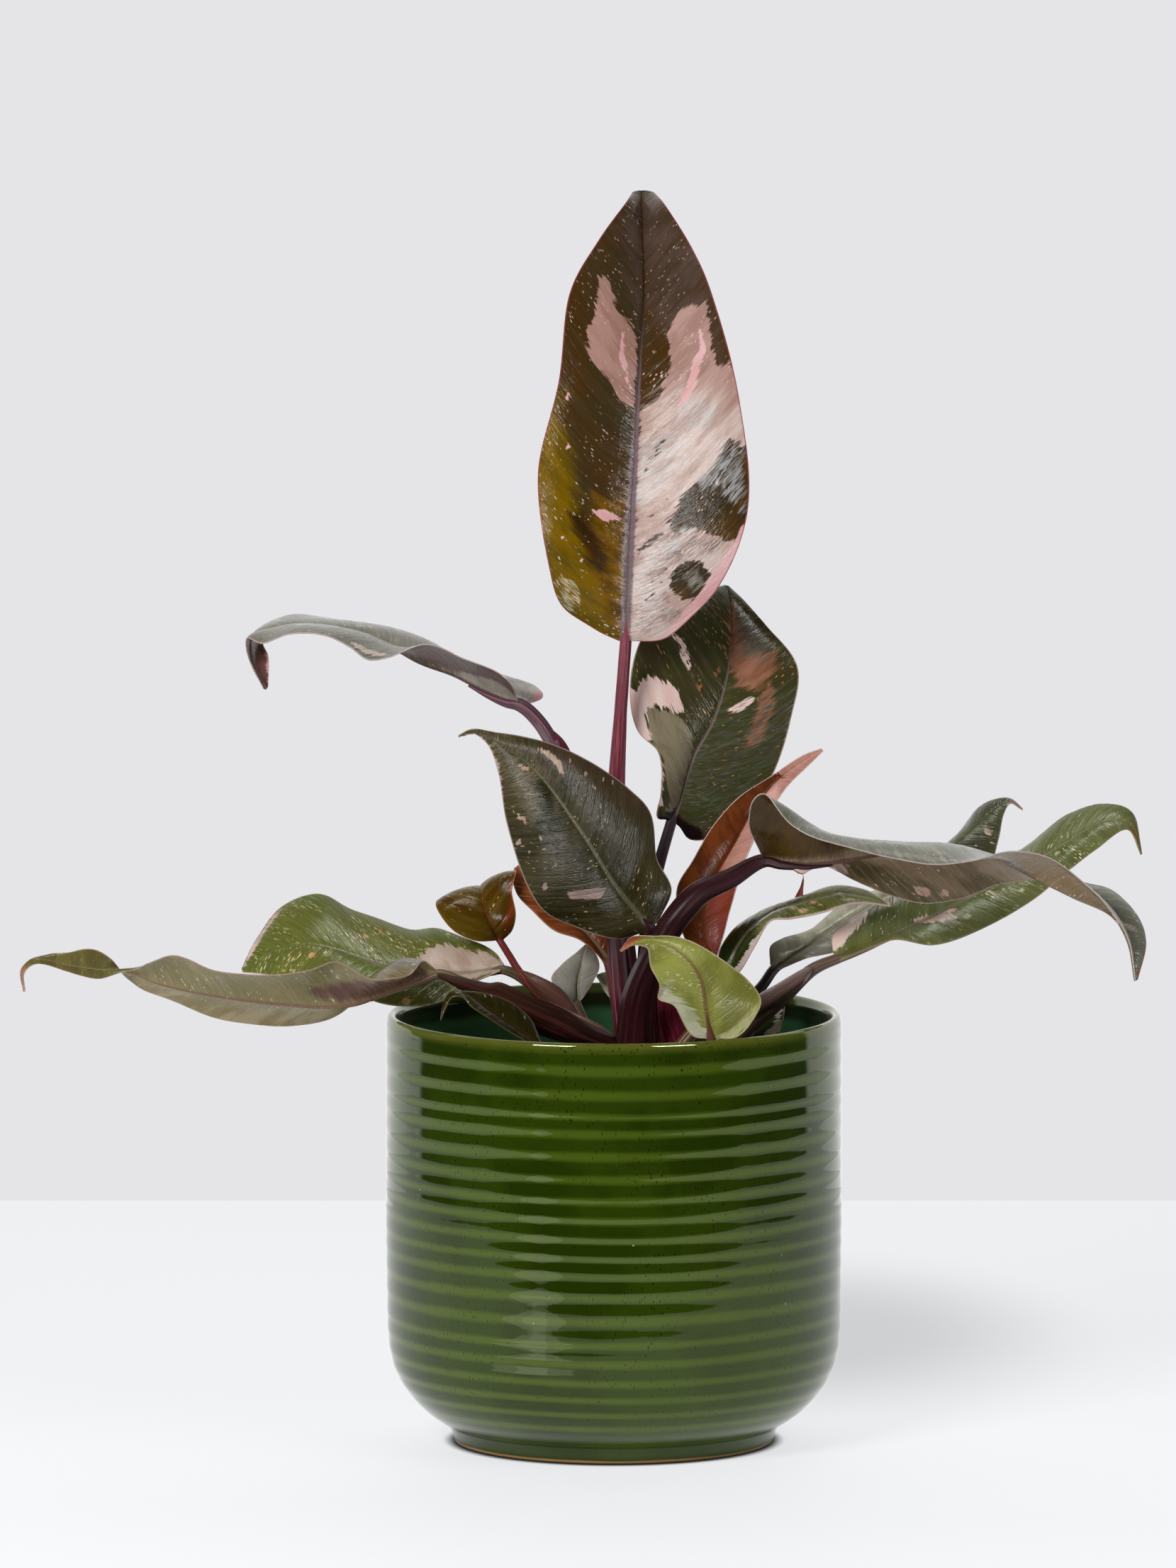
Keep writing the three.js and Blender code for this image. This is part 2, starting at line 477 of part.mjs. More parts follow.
function soilGeometry() {
  const wall = INNER_RADIUS - SOIL_CLEARANCE;
  const bottom = FLOOR + SOIL_GAP;
  const top = SOIL_TOP + SOIL_MOUND;
  const [floorEdge, ...basin] = BASIN;
  const body = toManifold(turned([
    [0, bottom],
    [wall - floorEdge[0] - SOIL_CLEARANCE, bottom],
    ...basin.map(([inset, height]) => [wall - inset, height + SOIL_CLEARANCE]),
    [wall, SOIL_TOP - 1],
    [wall - 10, SOIL_TOP],
    [SOIL_MOUND_RADIUS, top],
    [0, top],
  ], SOIL_SEGMENTS));
  const holeRadius = CROWN_RADIUS + SOIL_GAP;
  const holeBottom = CROWN_BOTTOM - SOIL_GAP;
  const hole = turned([
    [0, holeBottom], [holeRadius, holeBottom], [holeRadius, top + 1], [0, top + 1],
  ], SOIL_SEGMENTS).translate(CROWN_X, CROWN_Y, 0);
  return toGeometry(body.subtract(toManifold(hole)));
}

// The stem's base with every stalk joined to it.
function crownGeometry() {
  const stem = turned([
    [0, CROWN_BOTTOM],
    [CROWN_RADIUS - CROWN_BEVEL, CROWN_BOTTOM],
    [CROWN_RADIUS, CROWN_BOTTOM + CROWN_BEVEL],
    [CROWN_RADIUS, CROWN_TOP - CROWN_BEVEL],
    [CROWN_RADIUS - CROWN_BEVEL, CROWN_TOP],
    [0, CROWN_TOP],
  ], CROWN_SEGMENTS).translate(CROWN_X, CROWN_Y, 0);
  let crown = toManifold(stem);
  Object.values(LEAVES).forEach((leaf) => {
    crown = crown.add(stalkSolid(leaf));
  });
  return toGeometry(crown);
}

function part(name, geometry, color, roughness) {
  const material = new THREE.MeshStandardMaterial({ color, roughness, metalness: 0 });
  const mesh = new THREE.Mesh(geometry, material);
  mesh.name = name;
  return mesh;
}

const plant = new THREE.Group();
plant.add(part('pot', potGeometry(), 0x3c5a12, 0.12));
plant.add(part('soil', soilGeometry(), 0x2b2019, 0.95));
plant.add(part('crown', crownGeometry(), 0x56242c, 0.35));
Object.entries(LEAVES).forEach(([name, leaf]) => {
  plant.add(part(name, bladeGeometry(leaf), leaf.color, 0.35));
});

export default plant;
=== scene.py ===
"""Potted philodendron: variegated leaves on thick stalks in a ribbed, glazed pot.

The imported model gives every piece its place. The pieces here repeat the leaves' driving
points, in millimetres, and replace the plain nodes by finer ones of the same form.
"""
import math

import bpy
import numpy as np
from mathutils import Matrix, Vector


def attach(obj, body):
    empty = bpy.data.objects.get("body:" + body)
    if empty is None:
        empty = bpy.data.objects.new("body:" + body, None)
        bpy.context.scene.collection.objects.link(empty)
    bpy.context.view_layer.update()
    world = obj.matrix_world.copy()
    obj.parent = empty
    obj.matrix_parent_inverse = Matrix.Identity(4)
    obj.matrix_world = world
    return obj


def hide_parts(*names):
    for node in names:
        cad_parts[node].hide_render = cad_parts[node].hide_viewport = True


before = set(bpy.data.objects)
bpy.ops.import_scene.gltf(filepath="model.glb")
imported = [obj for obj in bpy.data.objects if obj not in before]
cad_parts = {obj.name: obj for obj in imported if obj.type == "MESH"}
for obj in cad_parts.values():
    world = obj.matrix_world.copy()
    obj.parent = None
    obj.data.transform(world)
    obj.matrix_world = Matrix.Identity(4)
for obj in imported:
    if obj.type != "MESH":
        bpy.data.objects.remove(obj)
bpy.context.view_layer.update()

MM = 0.001
BODY = "root"

# The photograph's frame and the camera that it was taken with
IMAGE_WIDTH, IMAGE_HEIGHT = 1659, 2212
POT_PIXELS = 643
POT_DIAMETER = 0.1746
PIXEL = POT_DIAMETER / POT_PIXELS * 1.0024
CAMERA_DISTANCE = 8.0
CAMERA_ELEVATION = math.radians(7.3)
CAMERA_TARGET = (-0.0099, 0.032, 0.2497)
SENSOR = 36.0

# Leaf build
BLADE_THICKNESS = 0.8
MARGIN_THICKNESS = 0.4
CAMBER = 0.07
ROW_STEP = 1.15
COLUMNS = 18
RIB_HEIGHT = 1.0

LEAVES = {
    "leaf_tall": dict(
        rib=[
            (4.5, 8, 309), (6, 3, 346), (8, 0, 383), (10, 2, 419), (11.5, 8, 443), (11, 19, 462),
            (10.5, 36, 478),
        ],
        left=[
            (2, 8, 308), (-8, 6, 313), (-20, 2, 322), (-25, -1, 339), (-29, -6, 374), (-21, -9, 410),
            (-17, -5, 443), (-6, 6, 462), (4.6, 23, 475), (7.2, 35, 477.6),
        ],
        right=[
            (7, 8, 308), (19, 6, 309), (30, 3, 318), (40, -2, 330), (51, -10, 360), (48, -14, 402),
            (37, -6, 444), (30, 4, 459), (20.6, 18, 473), (15.4, 35.5, 477.4),
        ],
        stalk=[(2.5, 10, 281), (1, 11, 254), (0, 9, 213), (0.5, 7, 194), (2, 5, 173), (6, 2, 136)],
        radii=[2.2, 2.4, 3.3, 3.4, 3.4, 3.6, 5],
    ),
    "leaf_left_high": dict(
        rib=[
            (-35.5, 15, 283), (-48, 20, 287), (-61, 26, 293), (-74, 32, 297), (-94, 43, 306),
            (-118, 52, 309), (-131, 56, 307), (-139, 58, 304), (-140, 58, 298), (-138, 58, 290),
            (-134, 58, 283),
        ],
        left=[
            (-37, 12, 284), (-39, 4, 291), (-45, 0, 297), (-57, 3, 301), (-72, 8, 306), (-86, 14, 301),
            (-94, 15, 300), (-101, 20, 304), (-110, 26, 307), (-124, 34, 307), (-135, 42, 303),
            (-141, 50, 304), (-140, 54, 296), (-135, 57, 284),
        ],
        right=[
            (-34, 19, 282), (-32, 27, 281.5), (-27.5, 33, 283), (-31, 39, 286), (-41, 43, 289),
            (-56, 48, 294), (-71, 56, 302), (-86, 66, 306), (-104, 76, 307), (-122, 82, 308),
            (-131, 78, 305), (-135, 70, 300), (-133, 64, 295), (-133, 59, 284),
        ],
        stalk=[
            (-28, 14, 275), (-18, 12, 256), (-8, 14, 232), (2, 18, 205), (6, 16, 180), (9, 10, 155),
            (11, 6, 136),
        ],
        radii=[2.7, 2.8, 2.9, 3, 3.1, 3.3, 3.8, 4.5],
    ),
    "leaf_centre": dict(
        rib=[
            (14, -18, 201), (1, -25, 217), (-12, -35, 239), (-30, -47, 265), (-43, -56, 276),
            (-51, -60, 281), (-59, -62, 280),
        ],
        left=[
            (12, -17, 199), (3, -20, 197), (-14, -28, 202), (-26, -36, 209), (-33, -43, 220),
            (-41, -50, 246), (-44, -54, 265), (-48, -58, 276), (-54, -61, 281), (-59, -62, 279.5),
        ],
        right=[
            (17, -17, 203), (22, -16, 215), (16, -16, 227), (14, -18, 245), (6, -24, 255), (-8, -34, 266),
            (-24, -45, 275), (-44, -56, 281), (-54, -60, 282.5), (-59, -62, 280.5),
        ],
        stalk=[(13, -12, 194), (9, -8, 176), (7, -4, 152), (8, -3, 136)], radii=[2.1, 2.4, 2.8, 3.4, 4],
    ),
    "leaf_back": dict(
        rib=[
            (22.5, 26, 236), (25, 28, 243), (30, 30, 260), (38, 34, 274), (43, 38, 289), (45, 43, 303),
            (45, 50, 315), (43.5, 60, 323),
        ],
        left=[
            (20, 25, 237), (16.5, 22, 238), (18, 19, 249), (17, 18, 264), (9, 20, 272), (6, 22, 287),
            (10, 30, 305), (21, 42, 316), (37, 56, 322), (42.5, 61, 323),
        ],
        right=[
            (25.5, 26.5, 234), (29, 26.5, 229), (38, 27, 229.5), (50, 29, 238), (61, 31, 253),
            (68, 34, 275), (70.5, 38, 294), (59, 46, 309), (50, 54, 318), (44.5, 61, 322.5),
        ],
        stalk=[(18, 23, 222), (14, 20, 206), (12, 17, 185), (11, 12, 160), (11, 7, 136)],
        radii=[2.1, 2.3, 2.6, 3, 3.6, 4.5],
    ),
    "leaf_rolled": dict(
        rib=[
            (37.5, 8, 186), (34.5, 9, 199), (38, 12, 214), (46, 16, 228), (53, 20, 240), (63, 25, 252),
            (80, 28, 263.5),
        ],
        left=[
            (35, 7, 187), (28, 5, 192), (24, 6, 212), (30, 9, 223), (38, 14, 236), (48, 18, 246.5),
            (60.5, 24, 254), (73, 27.5, 261.5), (79.5, 28, 264),
        ],
        right=[
            (39.5, 8, 186), (42, 6, 194), (44.5, 6, 204), (51, 9, 224), (57, 13, 236), (64, 21, 247),
            (72, 26, 255), (80.5, 28, 263),
        ],
        stalk=[(33, 8, 177), (26, 6, 163), (19, 5, 150), (14, 4, 136)], radii=[2, 2.3, 2.8, 3.3, 4],
    ),
    "leaf_right_high": dict(
        rib=[
            (57.5, -38, 230), (76, -44, 229), (98, -50, 233), (114, -54, 237), (129, -58, 238),
            (145, -62, 234), (157, -66, 228), (174, -71, 220), (189, -75, 213), (195, -77, 203),
            (197.5, -78, 188.5),
        ],
        left=[
            (58.5, -34, 227), (67, -12, 223), (72, -8, 220), (78, -12, 224), (92, -24, 220),
            (105, -30, 215), (118, -34, 212), (133, -39, 215), (146, -43, 221), (168, -53, 224),
            (180, -58, 223), (190, -63, 221), (200, -69, 211), (202, -73, 202), (198.5, -77, 189),
        ],
        right=[
            (56, -42, 232), (51, -54, 246), (53, -61, 256), (57, -63, 258), (67, -66, 247), (85, -72, 240),
            (103, -78, 235), (118, -83, 234), (136, -86, 236), (150, -86, 239), (165, -86, 237),
            (177, -86, 228), (188, -85, 216), (195, -82, 205), (197.5, -79, 189),
        ],
        stalk=[
            (44, -37, 222), (32, -36, 216), (23, -33, 205), (16, -28, 192), (10, -20, 176), (8, -12, 158),
            (9, -5, 136),
        ],
        radii=[2.6, 3.9, 4.8, 4.9, 5.6, 6.4, 7.4, 8],
    ),
    "leaf_right_grey": dict(
        rib=[
            (61.5, 16, 180.5), (72, 20, 187), (88, 28, 197), (107, 36, 208), (126, 44, 221), (140, 50, 232),
            (152, 54, 240), (157.5, 54, 237),
        ],
        left=[
            (60, 16, 182), (60, 15, 189), (65, 19, 192), (77, 28, 194), (89, 38, 203), (102, 46, 208),
            (131, 57, 225), (142, 59, 237), (152, 56, 241), (157.5, 54, 237.5),
        ],
        right=[
            (63.5, 15, 180), (74, 14, 185), (84, 18, 186), (102, 24, 191), (123, 32, 202), (143, 40, 213),
            (148, 46, 226), (150, 51, 235), (153, 53, 239.5), (157.5, 54, 236.5),
        ],
        stalk=[(57, 15, 174), (48, 13, 165), (34, 10, 153), (22, 7, 143), (15, 5, 136)],
        radii=[1.9, 2.1, 2.6, 3.2, 3.6, 4],
    ),
    "leaf_right_green": dict(
        rib=[
            (85, -6, 187.5), (99, -2, 192), (118, 4, 200), (139, 10, 210), (158, 14, 220), (175, 16, 230),
            (188, 18, 237), (198, 18, 236), (202.5, 18, 224.5),
        ],
        left=[
            (84, -6, 189), (83.5, -5, 196), (93, 0, 203), (115, 12, 213), (134, 20, 220), (155, 26, 225),
            (174, 28, 238), (189, 26, 242), (199, 22, 239), (202.5, 18, 225),
        ],
        right=[
            (86.5, -7, 186.5), (100, -8, 192), (107, -5, 194), (122, -4, 192), (141, 0, 198), (161, 4, 209),
            (175, 8, 220), (185, 12, 227), (197, 16, 234), (202, 18, 224),
        ],
        stalk=[(76, -6, 183), (64, -5, 172), (53, -3, 163), (38, -1, 150), (22, 0, 142), (15, 0, 136)],
        radii=[2, 2.6, 3.4, 3.7, 3.6, 3.8, 4],
    ),
    "leaf_right_small": dict(
        rib=[
            (43, -8, 181), (47.5, -10, 192), (55, -12, 202), (63, -13, 207), (71, -14, 209.5),
            (85, -15, 213), (97, -15, 212), (105.5, -15, 209),
        ],
        left=[
            (41, -7, 182), (40, -4, 189), (46, 0, 197), (56, 1, 203.5), (64, -4, 208), (72, -8, 212),
            (83, -8, 215.5), (94, -10, 214), (105.5, -15, 209.5),
        ],
        right=[
            (44.5, -10, 180), (48, -16, 184), (54, -21, 195), (60, -23, 204), (67, -22, 204.5),
            (79, -21, 207), (91, -19, 210), (105.5, -15, 208.5),
        ],
        stalk=[(39, -7, 172), (31, -5, 160), (21, -3, 147), (14, -2, 136)], radii=[1.7, 2, 2.6, 3.2, 3.6],
    ),
    "leaf_front": dict(
        rib=[
            (37, -50, 162), (35, -52, 174), (33, -54, 186), (28, -55, 194), (21, -54, 198.5),
            (12, -50, 200), (2.5, -44, 195.5),
        ],
        left=[
            (38.5, -51, 162.5), (47, -56, 164), (54, -60, 173), (56, -61, 179), (51.5, -61, 186),
            (39, -60, 195), (25, -57, 201.5), (16, -54, 202.5), (7, -49, 202), (2.5, -44, 196),
        ],
        right=[
            (35.5, -51, 162.5), (30, -54, 164), (23, -57, 176), (16.5, -59, 179), (17, -59, 184),
            (14, -58, 191), (13, -55, 198), (8, -50, 198), (3, -44, 195),
        ],
        stalk=[(33, -43, 156), (26, -28, 149), (18, -14, 143), (13, -6, 136)],
        radii=[1.8, 2.1, 2.6, 3.2, 3.6],
    ),
    "leaf_right_dark": dict(
        rib=[(49.5, 8, 151), (53.5, 10, 157), (58, 13, 164), (65, 17, 171)],
        left=[(48, 7, 151.5), (48.5, 6, 158), (52, 9, 164), (64.5, 17, 171)],
        right=[(51, 8, 150), (61, 6, 152), (64, 8, 158), (65.5, 11, 165), (65.5, 17, 170.5)],
        stalk=[(40, 6, 147), (24, 3, 141), (16, 2, 136)], radii=[1.6, 2.2, 3, 3.4],
    ),
    "leaf_left_low": dict(
        rib=[
            (-67.5, -28, 185), (-77, -31, 182), (-88, -34, 178), (-98, -37, 174.5), (-110, -40, 173.5),
            (-124, -44, 175), (-138, -48, 177), (-159, -53, 181), (-174, -56, 185), (-184.5, -58, 189.5),
            (-196, -60, 190.5), (-208, -62, 192.5), (-221, -64, 195), (-225, -64, 190.5),
            (-224, -64, 182.5),
        ],
        left=[
            (-68.5, -30, 186.5), (-73, -36, 190.5), (-77.5, -42, 186), (-82, -46, 185), (-92, -50, 185.5),
            (-100, -53, 190), (-106, -55, 192.5), (-115, -58, 190), (-129, -61, 189), (-152, -66, 190.5),
            (-163, -68, 195.5), (-168, -68, 196.5), (-176, -66, 194), (-184.5, -62, 190.5),
            (-191, -60, 188), (-196, -60, 187), (-208, -62, 190.5), (-220, -65, 193), (-224, -65, 189.5),
            (-223.5, -64, 182.5),
        ],
        right=[
            (-67, -26, 185), (-74, -14, 188), (-82, -10, 187.5), (-88, -10, 183.5), (-95, -13, 176.5),
            (-101, -17, 170.5), (-108, -21, 166.5), (-119, -26, 164), (-131, -31, 164), (-153, -37, 169.5),
            (-165, -42, 174.5), (-179, -48, 181), (-186.5, -54, 188.5), (-192, -57.5, 194.5),
            (-198, -59, 197.5), (-206, -60, 196), (-217, -62, 195.5), (-225, -63, 191.5),
            (-224.5, -64, 182.5),
        ],
        stalk=[
            (-59, -25, 181), (-48, -22, 176), (-37, -19, 172), (-20, -15, 164), (-4, -9, 155), (9, -2, 136),
        ],
        radii=[1.9, 2.3, 4.2, 5, 5, 4.8, 4.6], depth=0.6,
    ),
    "leaf_left_green": dict(
        rib=[
            (-43, -2, 183), (-56, 0, 180.5), (-72, 3, 181), (-87, 6, 183), (-97, 9, 185.5),
            (-107, 12, 188.5), (-118, 15, 190), (-131, 18, 186.5), (-142.5, 22, 179),
        ],
        left=[
            (-43.5, -4, 182), (-52, -8, 179.5), (-60, -12, 174.5), (-68, -14, 170.5), (-77, -12, 169.5),
            (-87, -9, 170), (-98, -4, 172.5), (-115, 4, 175.5), (-132, 14, 178), (-142.5, 22, 178),
        ],
        right=[
            (-42, 0, 184), (-45, 6, 187.5), (-56, 14, 191.5), (-68, 20, 196), (-79, 24, 194),
            (-99, 30, 200), (-113, 33, 207), (-127, 32, 202.5), (-137, 28, 191), (-143, 23, 179),
        ],
        stalk=[(-38, 0, 180.5), (-33, 2, 177), (-26, 4, 171), (-12, 5, 160), (0, 4, 150), (6, 2, 136)],
        radii=[1.8, 2, 2.2, 2.6, 3.2, 3.8, 4.4],
    ),
    "leaf_olive": dict(
        rib=[
            (-44, 4, 193.5), (-47.5, 2, 200), (-50, 4, 207), (-51.5, 11, 212), (-50.5, 22, 211),
            (-48.5, 32, 204.5),
        ],
        left=[
            (-45.5, 3, 193), (-52, 0, 193), (-61, -1, 197), (-67, 1, 204), (-68, 7, 207.5), (-61, 18, 208),
            (-49, 31, 204.5),
        ],
        right=[
            (-42.5, 5, 193), (-39, 2, 197), (-37.5, 0, 203.5), (-39, 3, 212), (-37.5, 12, 219),
            (-42, 24, 214.5), (-48, 33, 204.5),
        ],
        stalk=[(-40, 3, 187), (-36, 0, 181), (-28, -4, 173), (-16, -5, 164), (-5, -4, 153), (6, -2, 136)],
        radii=[1.3, 1.4, 1.7, 3.4, 3.6, 3.8, 4.2], depth=0.7,
    ),
    "leaf_russet": dict(
        rib=[(-2, 16, 183), (-10, 16, 193), (-20, 16, 203), (-30, 17, 212), (-37.5, 20, 219)],
        left=[
            (-3, 15, 182), (-13, 11, 192), (-23, 10, 196), (-31, 11, 203), (-37, 14, 209), (-39, 17, 216),
            (-38, 20, 219),
        ],
        right=[
            (-1, 17, 184), (-1, 17, 193), (-6, 18, 204), (-15, 19, 212), (-24, 20, 218), (-37, 21, 219.5),
        ],
        stalk=[(0, 14, 172), (4, 9, 155), (7, 5, 136)], radii=[1.8, 2.3, 3, 3.6],
    ),
    "leaf_grey_small": dict(
        rib=[(-14, 24, 166.5), (-14, 24, 174), (-12.5, 27, 181), (-10.5, 31, 187.5)],
        left=[
            (-15.5, 23, 167), (-20, 20, 170), (-24, 20, 176), (-20, 23, 181), (-14.5, 28, 185),
            (-11, 31, 187.5),
        ],
        right=[(-12.5, 24, 167), (-8, 26, 174), (-5.5, 29, 179), (-6.5, 31, 183.5), (-10, 31, 187.5)],
        stalk=[(-10, 19, 157), (-2, 12, 147), (4, 7, 136)], radii=[1.5, 2, 2.8, 3.4],
    ),
    "leaf_sage_small": dict(
        rib=[(6.5, 32, 164.5), (1, 34, 168), (-3.5, 36, 171.5), (-6.5, 38, 174.5)],
        left=[(6, 31, 163.5), (1.5, 30, 165.5), (-3.5, 32, 170), (-6.5, 38, 174)],
        right=[(8, 33, 165.5), (6, 37, 172.5), (1.5, 39, 175), (-3, 39, 175.5), (-6.5, 38, 175)],
        stalk=[(9, 25, 157), (11, 15, 147), (11, 8, 136)], radii=[1.5, 2, 2.8, 3.4],
    ),
    "leaf_left_dark": dict(
        rib=[
            (-28.5, -38, 158), (-39, -39, 166), (-47.5, -40, 172), (-57, -42, 178.5), (-62, -42, 178.5),
            (-65, -42, 174), (-66, -42, 168.5),
        ],
        left=[
            (-29.5, -40, 157.5), (-39.5, -44, 164), (-46, -46, 168), (-54, -46, 173.5), (-58, -43.5, 177.5),
            (-61.5, -43, 177.5), (-64, -43, 173.5), (-66, -42.5, 168.5),
        ],
        right=[
            (-27.5, -36, 158.5), (-31.5, -33, 167), (-41, -33, 174), (-49, -36, 177.5), (-57, -40.5, 179.5),
            (-62.5, -41, 179.5), (-65.5, -41, 174.5), (-66, -41.5, 168.5),
        ],
        stalk=[(-20, -30, 152), (-7, -17, 145), (5, -6, 136)], radii=[1.5, 2, 2.8, 3.4],
    ),
}


def srgb(red, green, blue, alpha=1.0):
    """A linear colour from the usual 0 to 255 values."""
    channels = []
    for value in (red, green, blue):
        part = value / 255
        channels.append(part / 12.92 if part <= 0.04045 else ((part + 0.055) / 1.055) ** 2.4)
    return (*channels, alpha)


def tint(colour, gain):
    """A colour made lighter or darker, still as 0 to 255 values."""
    return tuple(min(255, value * gain) for value in colour)


class Shader:
    """One material with a Principled shader, and short calls that add nodes to it."""

    def __init__(self, name):
        self.material = bpy.data.materials.new(name)
        self.material.use_nodes = True
        self.tree = self.material.node_tree
        self.surface = self.tree.nodes["Principled BSDF"]

    def node(self, kind, **settings):
        made = self.tree.nodes.new(kind)
        for key, value in settings.items():
            setattr(made, key, value)
        return made

    def give(self, socket, value):
        if isinstance(value, bpy.types.NodeSocket):
            self.tree.links.new(value, socket)
        elif isinstance(value, (tuple, list)) and len(value) == 3 and socket.type == "RGBA":
            socket.default_value = srgb(*value)
        else:
            socket.default_value = value

    def set(self, **values):
        for name, value in values.items():
            self.give(self.surface.inputs[name.replace("_", " ")], value)

    def attribute(self, name):
        return self.node("ShaderNodeAttribute", attribute_name=name)

    def axes(self, vector):
        made = self.node("ShaderNodeSeparateXYZ")
        self.give(made.inputs[0], vector)
        return made.outputs[0], made.outputs[1], made.outputs[2]

    def vector(self, x, y, z):
        made = self.node("ShaderNodeCombineXYZ")
        for socket, value in zip(made.inputs, (x, y, z)):
            self.give(socket, value)
        return made.outputs[0]

    def math(self, operation, first, second=0.0):
        made = self.node("ShaderNodeMath", operation=operation)
        self.give(made.inputs[0], first)
        self.give(made.inputs[1], second)
        return made.outputs[0]

    def times(self, first, second):
        return self.math("MULTIPLY", first, second)

    def plus(self, first, second):
        return self.math("ADD", first, second)

    def swing(self, noise, size):
        """A noise that swings round zero."""
        return self.times(self.math("SUBTRACT", noise, 0.5), size)

    def size_of(self, vector):
        made = self.node("ShaderNodeVectorMath", operation="LENGTH")
        self.give(made.inputs[0], vector)
        return made.outputs["Value"]

    def ramp(self, value, low, high, to_low=0.0, to_high=1.0):
        made = self.node("ShaderNodeMapRange", interpolation_type="SMOOTHSTEP")
        for socket, given in zip(made.inputs, (value, low, high, to_low, to_high)):
            self.give(socket, given)
        return made.outputs[0]

    def mix(self, share, first, second, blend="MIX"):
        made = self.node("ShaderNodeMix", data_type="RGBA", blend_type=blend)
        self.give(made.inputs[0], share)
        self.give(made.inputs[6], first)
        self.give(made.inputs[7], second)
        return made.outputs[2]

    def noise(self, vector, scale=1.0, detail=3.0, rough=0.55):
        made = self.node("ShaderNodeTexNoise")
        self.give(made.inputs["Vector"], vector)
        self.give(made.inputs["Scale"], scale)
        self.give(made.inputs["Detail"], detail)
        self.give(made.inputs["Roughness"], rough)
        return made.outputs[0]

    def cells(self, vector, scale=1.0):
        made = self.node("ShaderNodeTexVoronoi")
        self.give(made.inputs["Vector"], vector)
        self.give(made.inputs["Scale"], scale)
        return made

    def dots(self, cells, channel, limit, full, gone):
        """Round dots in the cells whose random value passes the limit."""
        chosen = self.math("GREATER_THAN", self.axes(cells.outputs["Color"])[channel], limit)
        return self.times(self.ramp(cells.outputs["Distance"], full, gone, 1.0, 0.0), chosen)

    def place(self):
        return self.node("ShaderNodeTexCoord").outputs["Object"]

    def bump(self, height, distance, before=None):
        made = self.node("ShaderNodeBump")
        self.give(made.inputs["Height"], height)
        self.give(made.inputs["Distance"], distance)
        if before is not None:
            self.give(made.inputs["Normal"], before)
        return made.outputs[0]


def as_object(name, points, faces, material, sharp=math.radians(50)):
    """A smooth-shaded mesh object, in metres from points in millimetres."""
    mesh = bpy.data.meshes.new(name)
    mesh.from_pydata((np.asarray(points, float) * MM).tolist(), [], faces)
    mesh.shade_smooth()
    mesh.set_sharp_from_angle(angle=sharp)
    mesh.materials.append(material)
    made = bpy.data.objects.new(name, mesh)
    bpy.context.scene.collection.objects.link(made)
    return made


def paint_values(made, name, values):
    """Stores a number or a vector for each vertex."""
    values = np.asarray(values, np.float32)
    if values.ndim == 1:
        made.data.attributes.new(name, "FLOAT", "POINT").data.foreach_set("value", values)
    else:
        layer = made.data.attributes.new(name, "FLOAT_VECTOR", "POINT")
        layer.data.foreach_set("vector", values.ravel())


def settle(piece, slot, *nodes):
    """The piece rides on the body and stands for its nodes. The slot is not used."""
    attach(piece, BODY)
    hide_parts(*nodes)


def ring_faces(rows, columns, flip=False):
    """Quads between closed rings, with a cap on the first and on the last ring."""
    faces = []
    for i in range(rows - 1):
        a, b = i * columns, (i + 1) * columns
        for j in range(columns):
            k = (j + 1) % columns
            faces.append((a + j, b + j, b + k, a + k) if flip else (a + j, a + k, b + k, b + j))
    first = tuple(range(columns))
    last = tuple((rows - 1) * columns + j for j in range(columns))
    return faces + ([first, last[::-1]] if flip else [first[::-1], last])


def dress_stalk(made, run, turn, share):
    """Stores what the stripes follow: the way down, the turn round the stalk and the share."""
    paint_values(made, "stem", np.stack([run, np.cos(turn), np.sin(turn)], axis=1))
    paint_values(made, "share", share)
    settle(made, "stalk", "crown")
    return made


# Curves

def smooth_curve(points, steps=24):
    """The centripetal Catmull-Rom curve through the points, as a fine polyline."""
    spots = np.array(points, float)
    spots = np.vstack([2 * spots[0] - spots[1], spots, 2 * spots[-1] - spots[-2]])
    share = np.linspace(0, 1, steps, endpoint=False)[:, None]
    pieces = []
    for i in range(1, len(spots) - 2):
        a, b, c, d = spots[i - 1:i + 3]
        ab, bc, cd = (max(math.sqrt(np.linalg.norm(run)), 1e-4) for run in (b - a, c - b, d - c))
        leave = bc * ((b - a) / ab - (c - a) / (ab + bc) + (c - b) / bc)
        arrive = bc * ((c - b) / bc - (d - b) / (bc + cd) + (d - c) / cd)
        pieces.append(
            (2 * share**3 - 3 * share**2 + 1) * b + (share**3 - 2 * share**2 + share) * leave
            + (3 * share**2 - 2 * share**3) * c + (share**3 - share**2) * arrive
        )
    pieces.append(spots[-2][None])
    return np.vstack(pieces)


def lengths(line):
    """The length of a polyline up to each of its points."""
    return np.r_[0, np.cumsum(np.linalg.norm(np.diff(line, axis=0), axis=1))]


def at_shares(line, shares):
    """Points at even shares of a polyline's length."""
    run = lengths(line)
    return np.stack([np.interp(shares * run[-1], run, line[:, axis]) for axis in range(3)], axis=1)


def unit(vectors):
    size = np.linalg.norm(vectors, axis=-1, keepdims=True)
    return vectors / np.maximum(size, 1e-9)


def strip_faces(rows, columns, offset=0, flip=False):
    """Quads of a grid whose vertices go row by row."""
    faces = []
    for i in range(rows - 1):
        for j in range(columns - 1):
            a = offset + i * columns + j
            quad = (a, a + 1, a + columns + 1, a + columns)
            faces.append(quad[::-1] if flip else quad)
    return faces


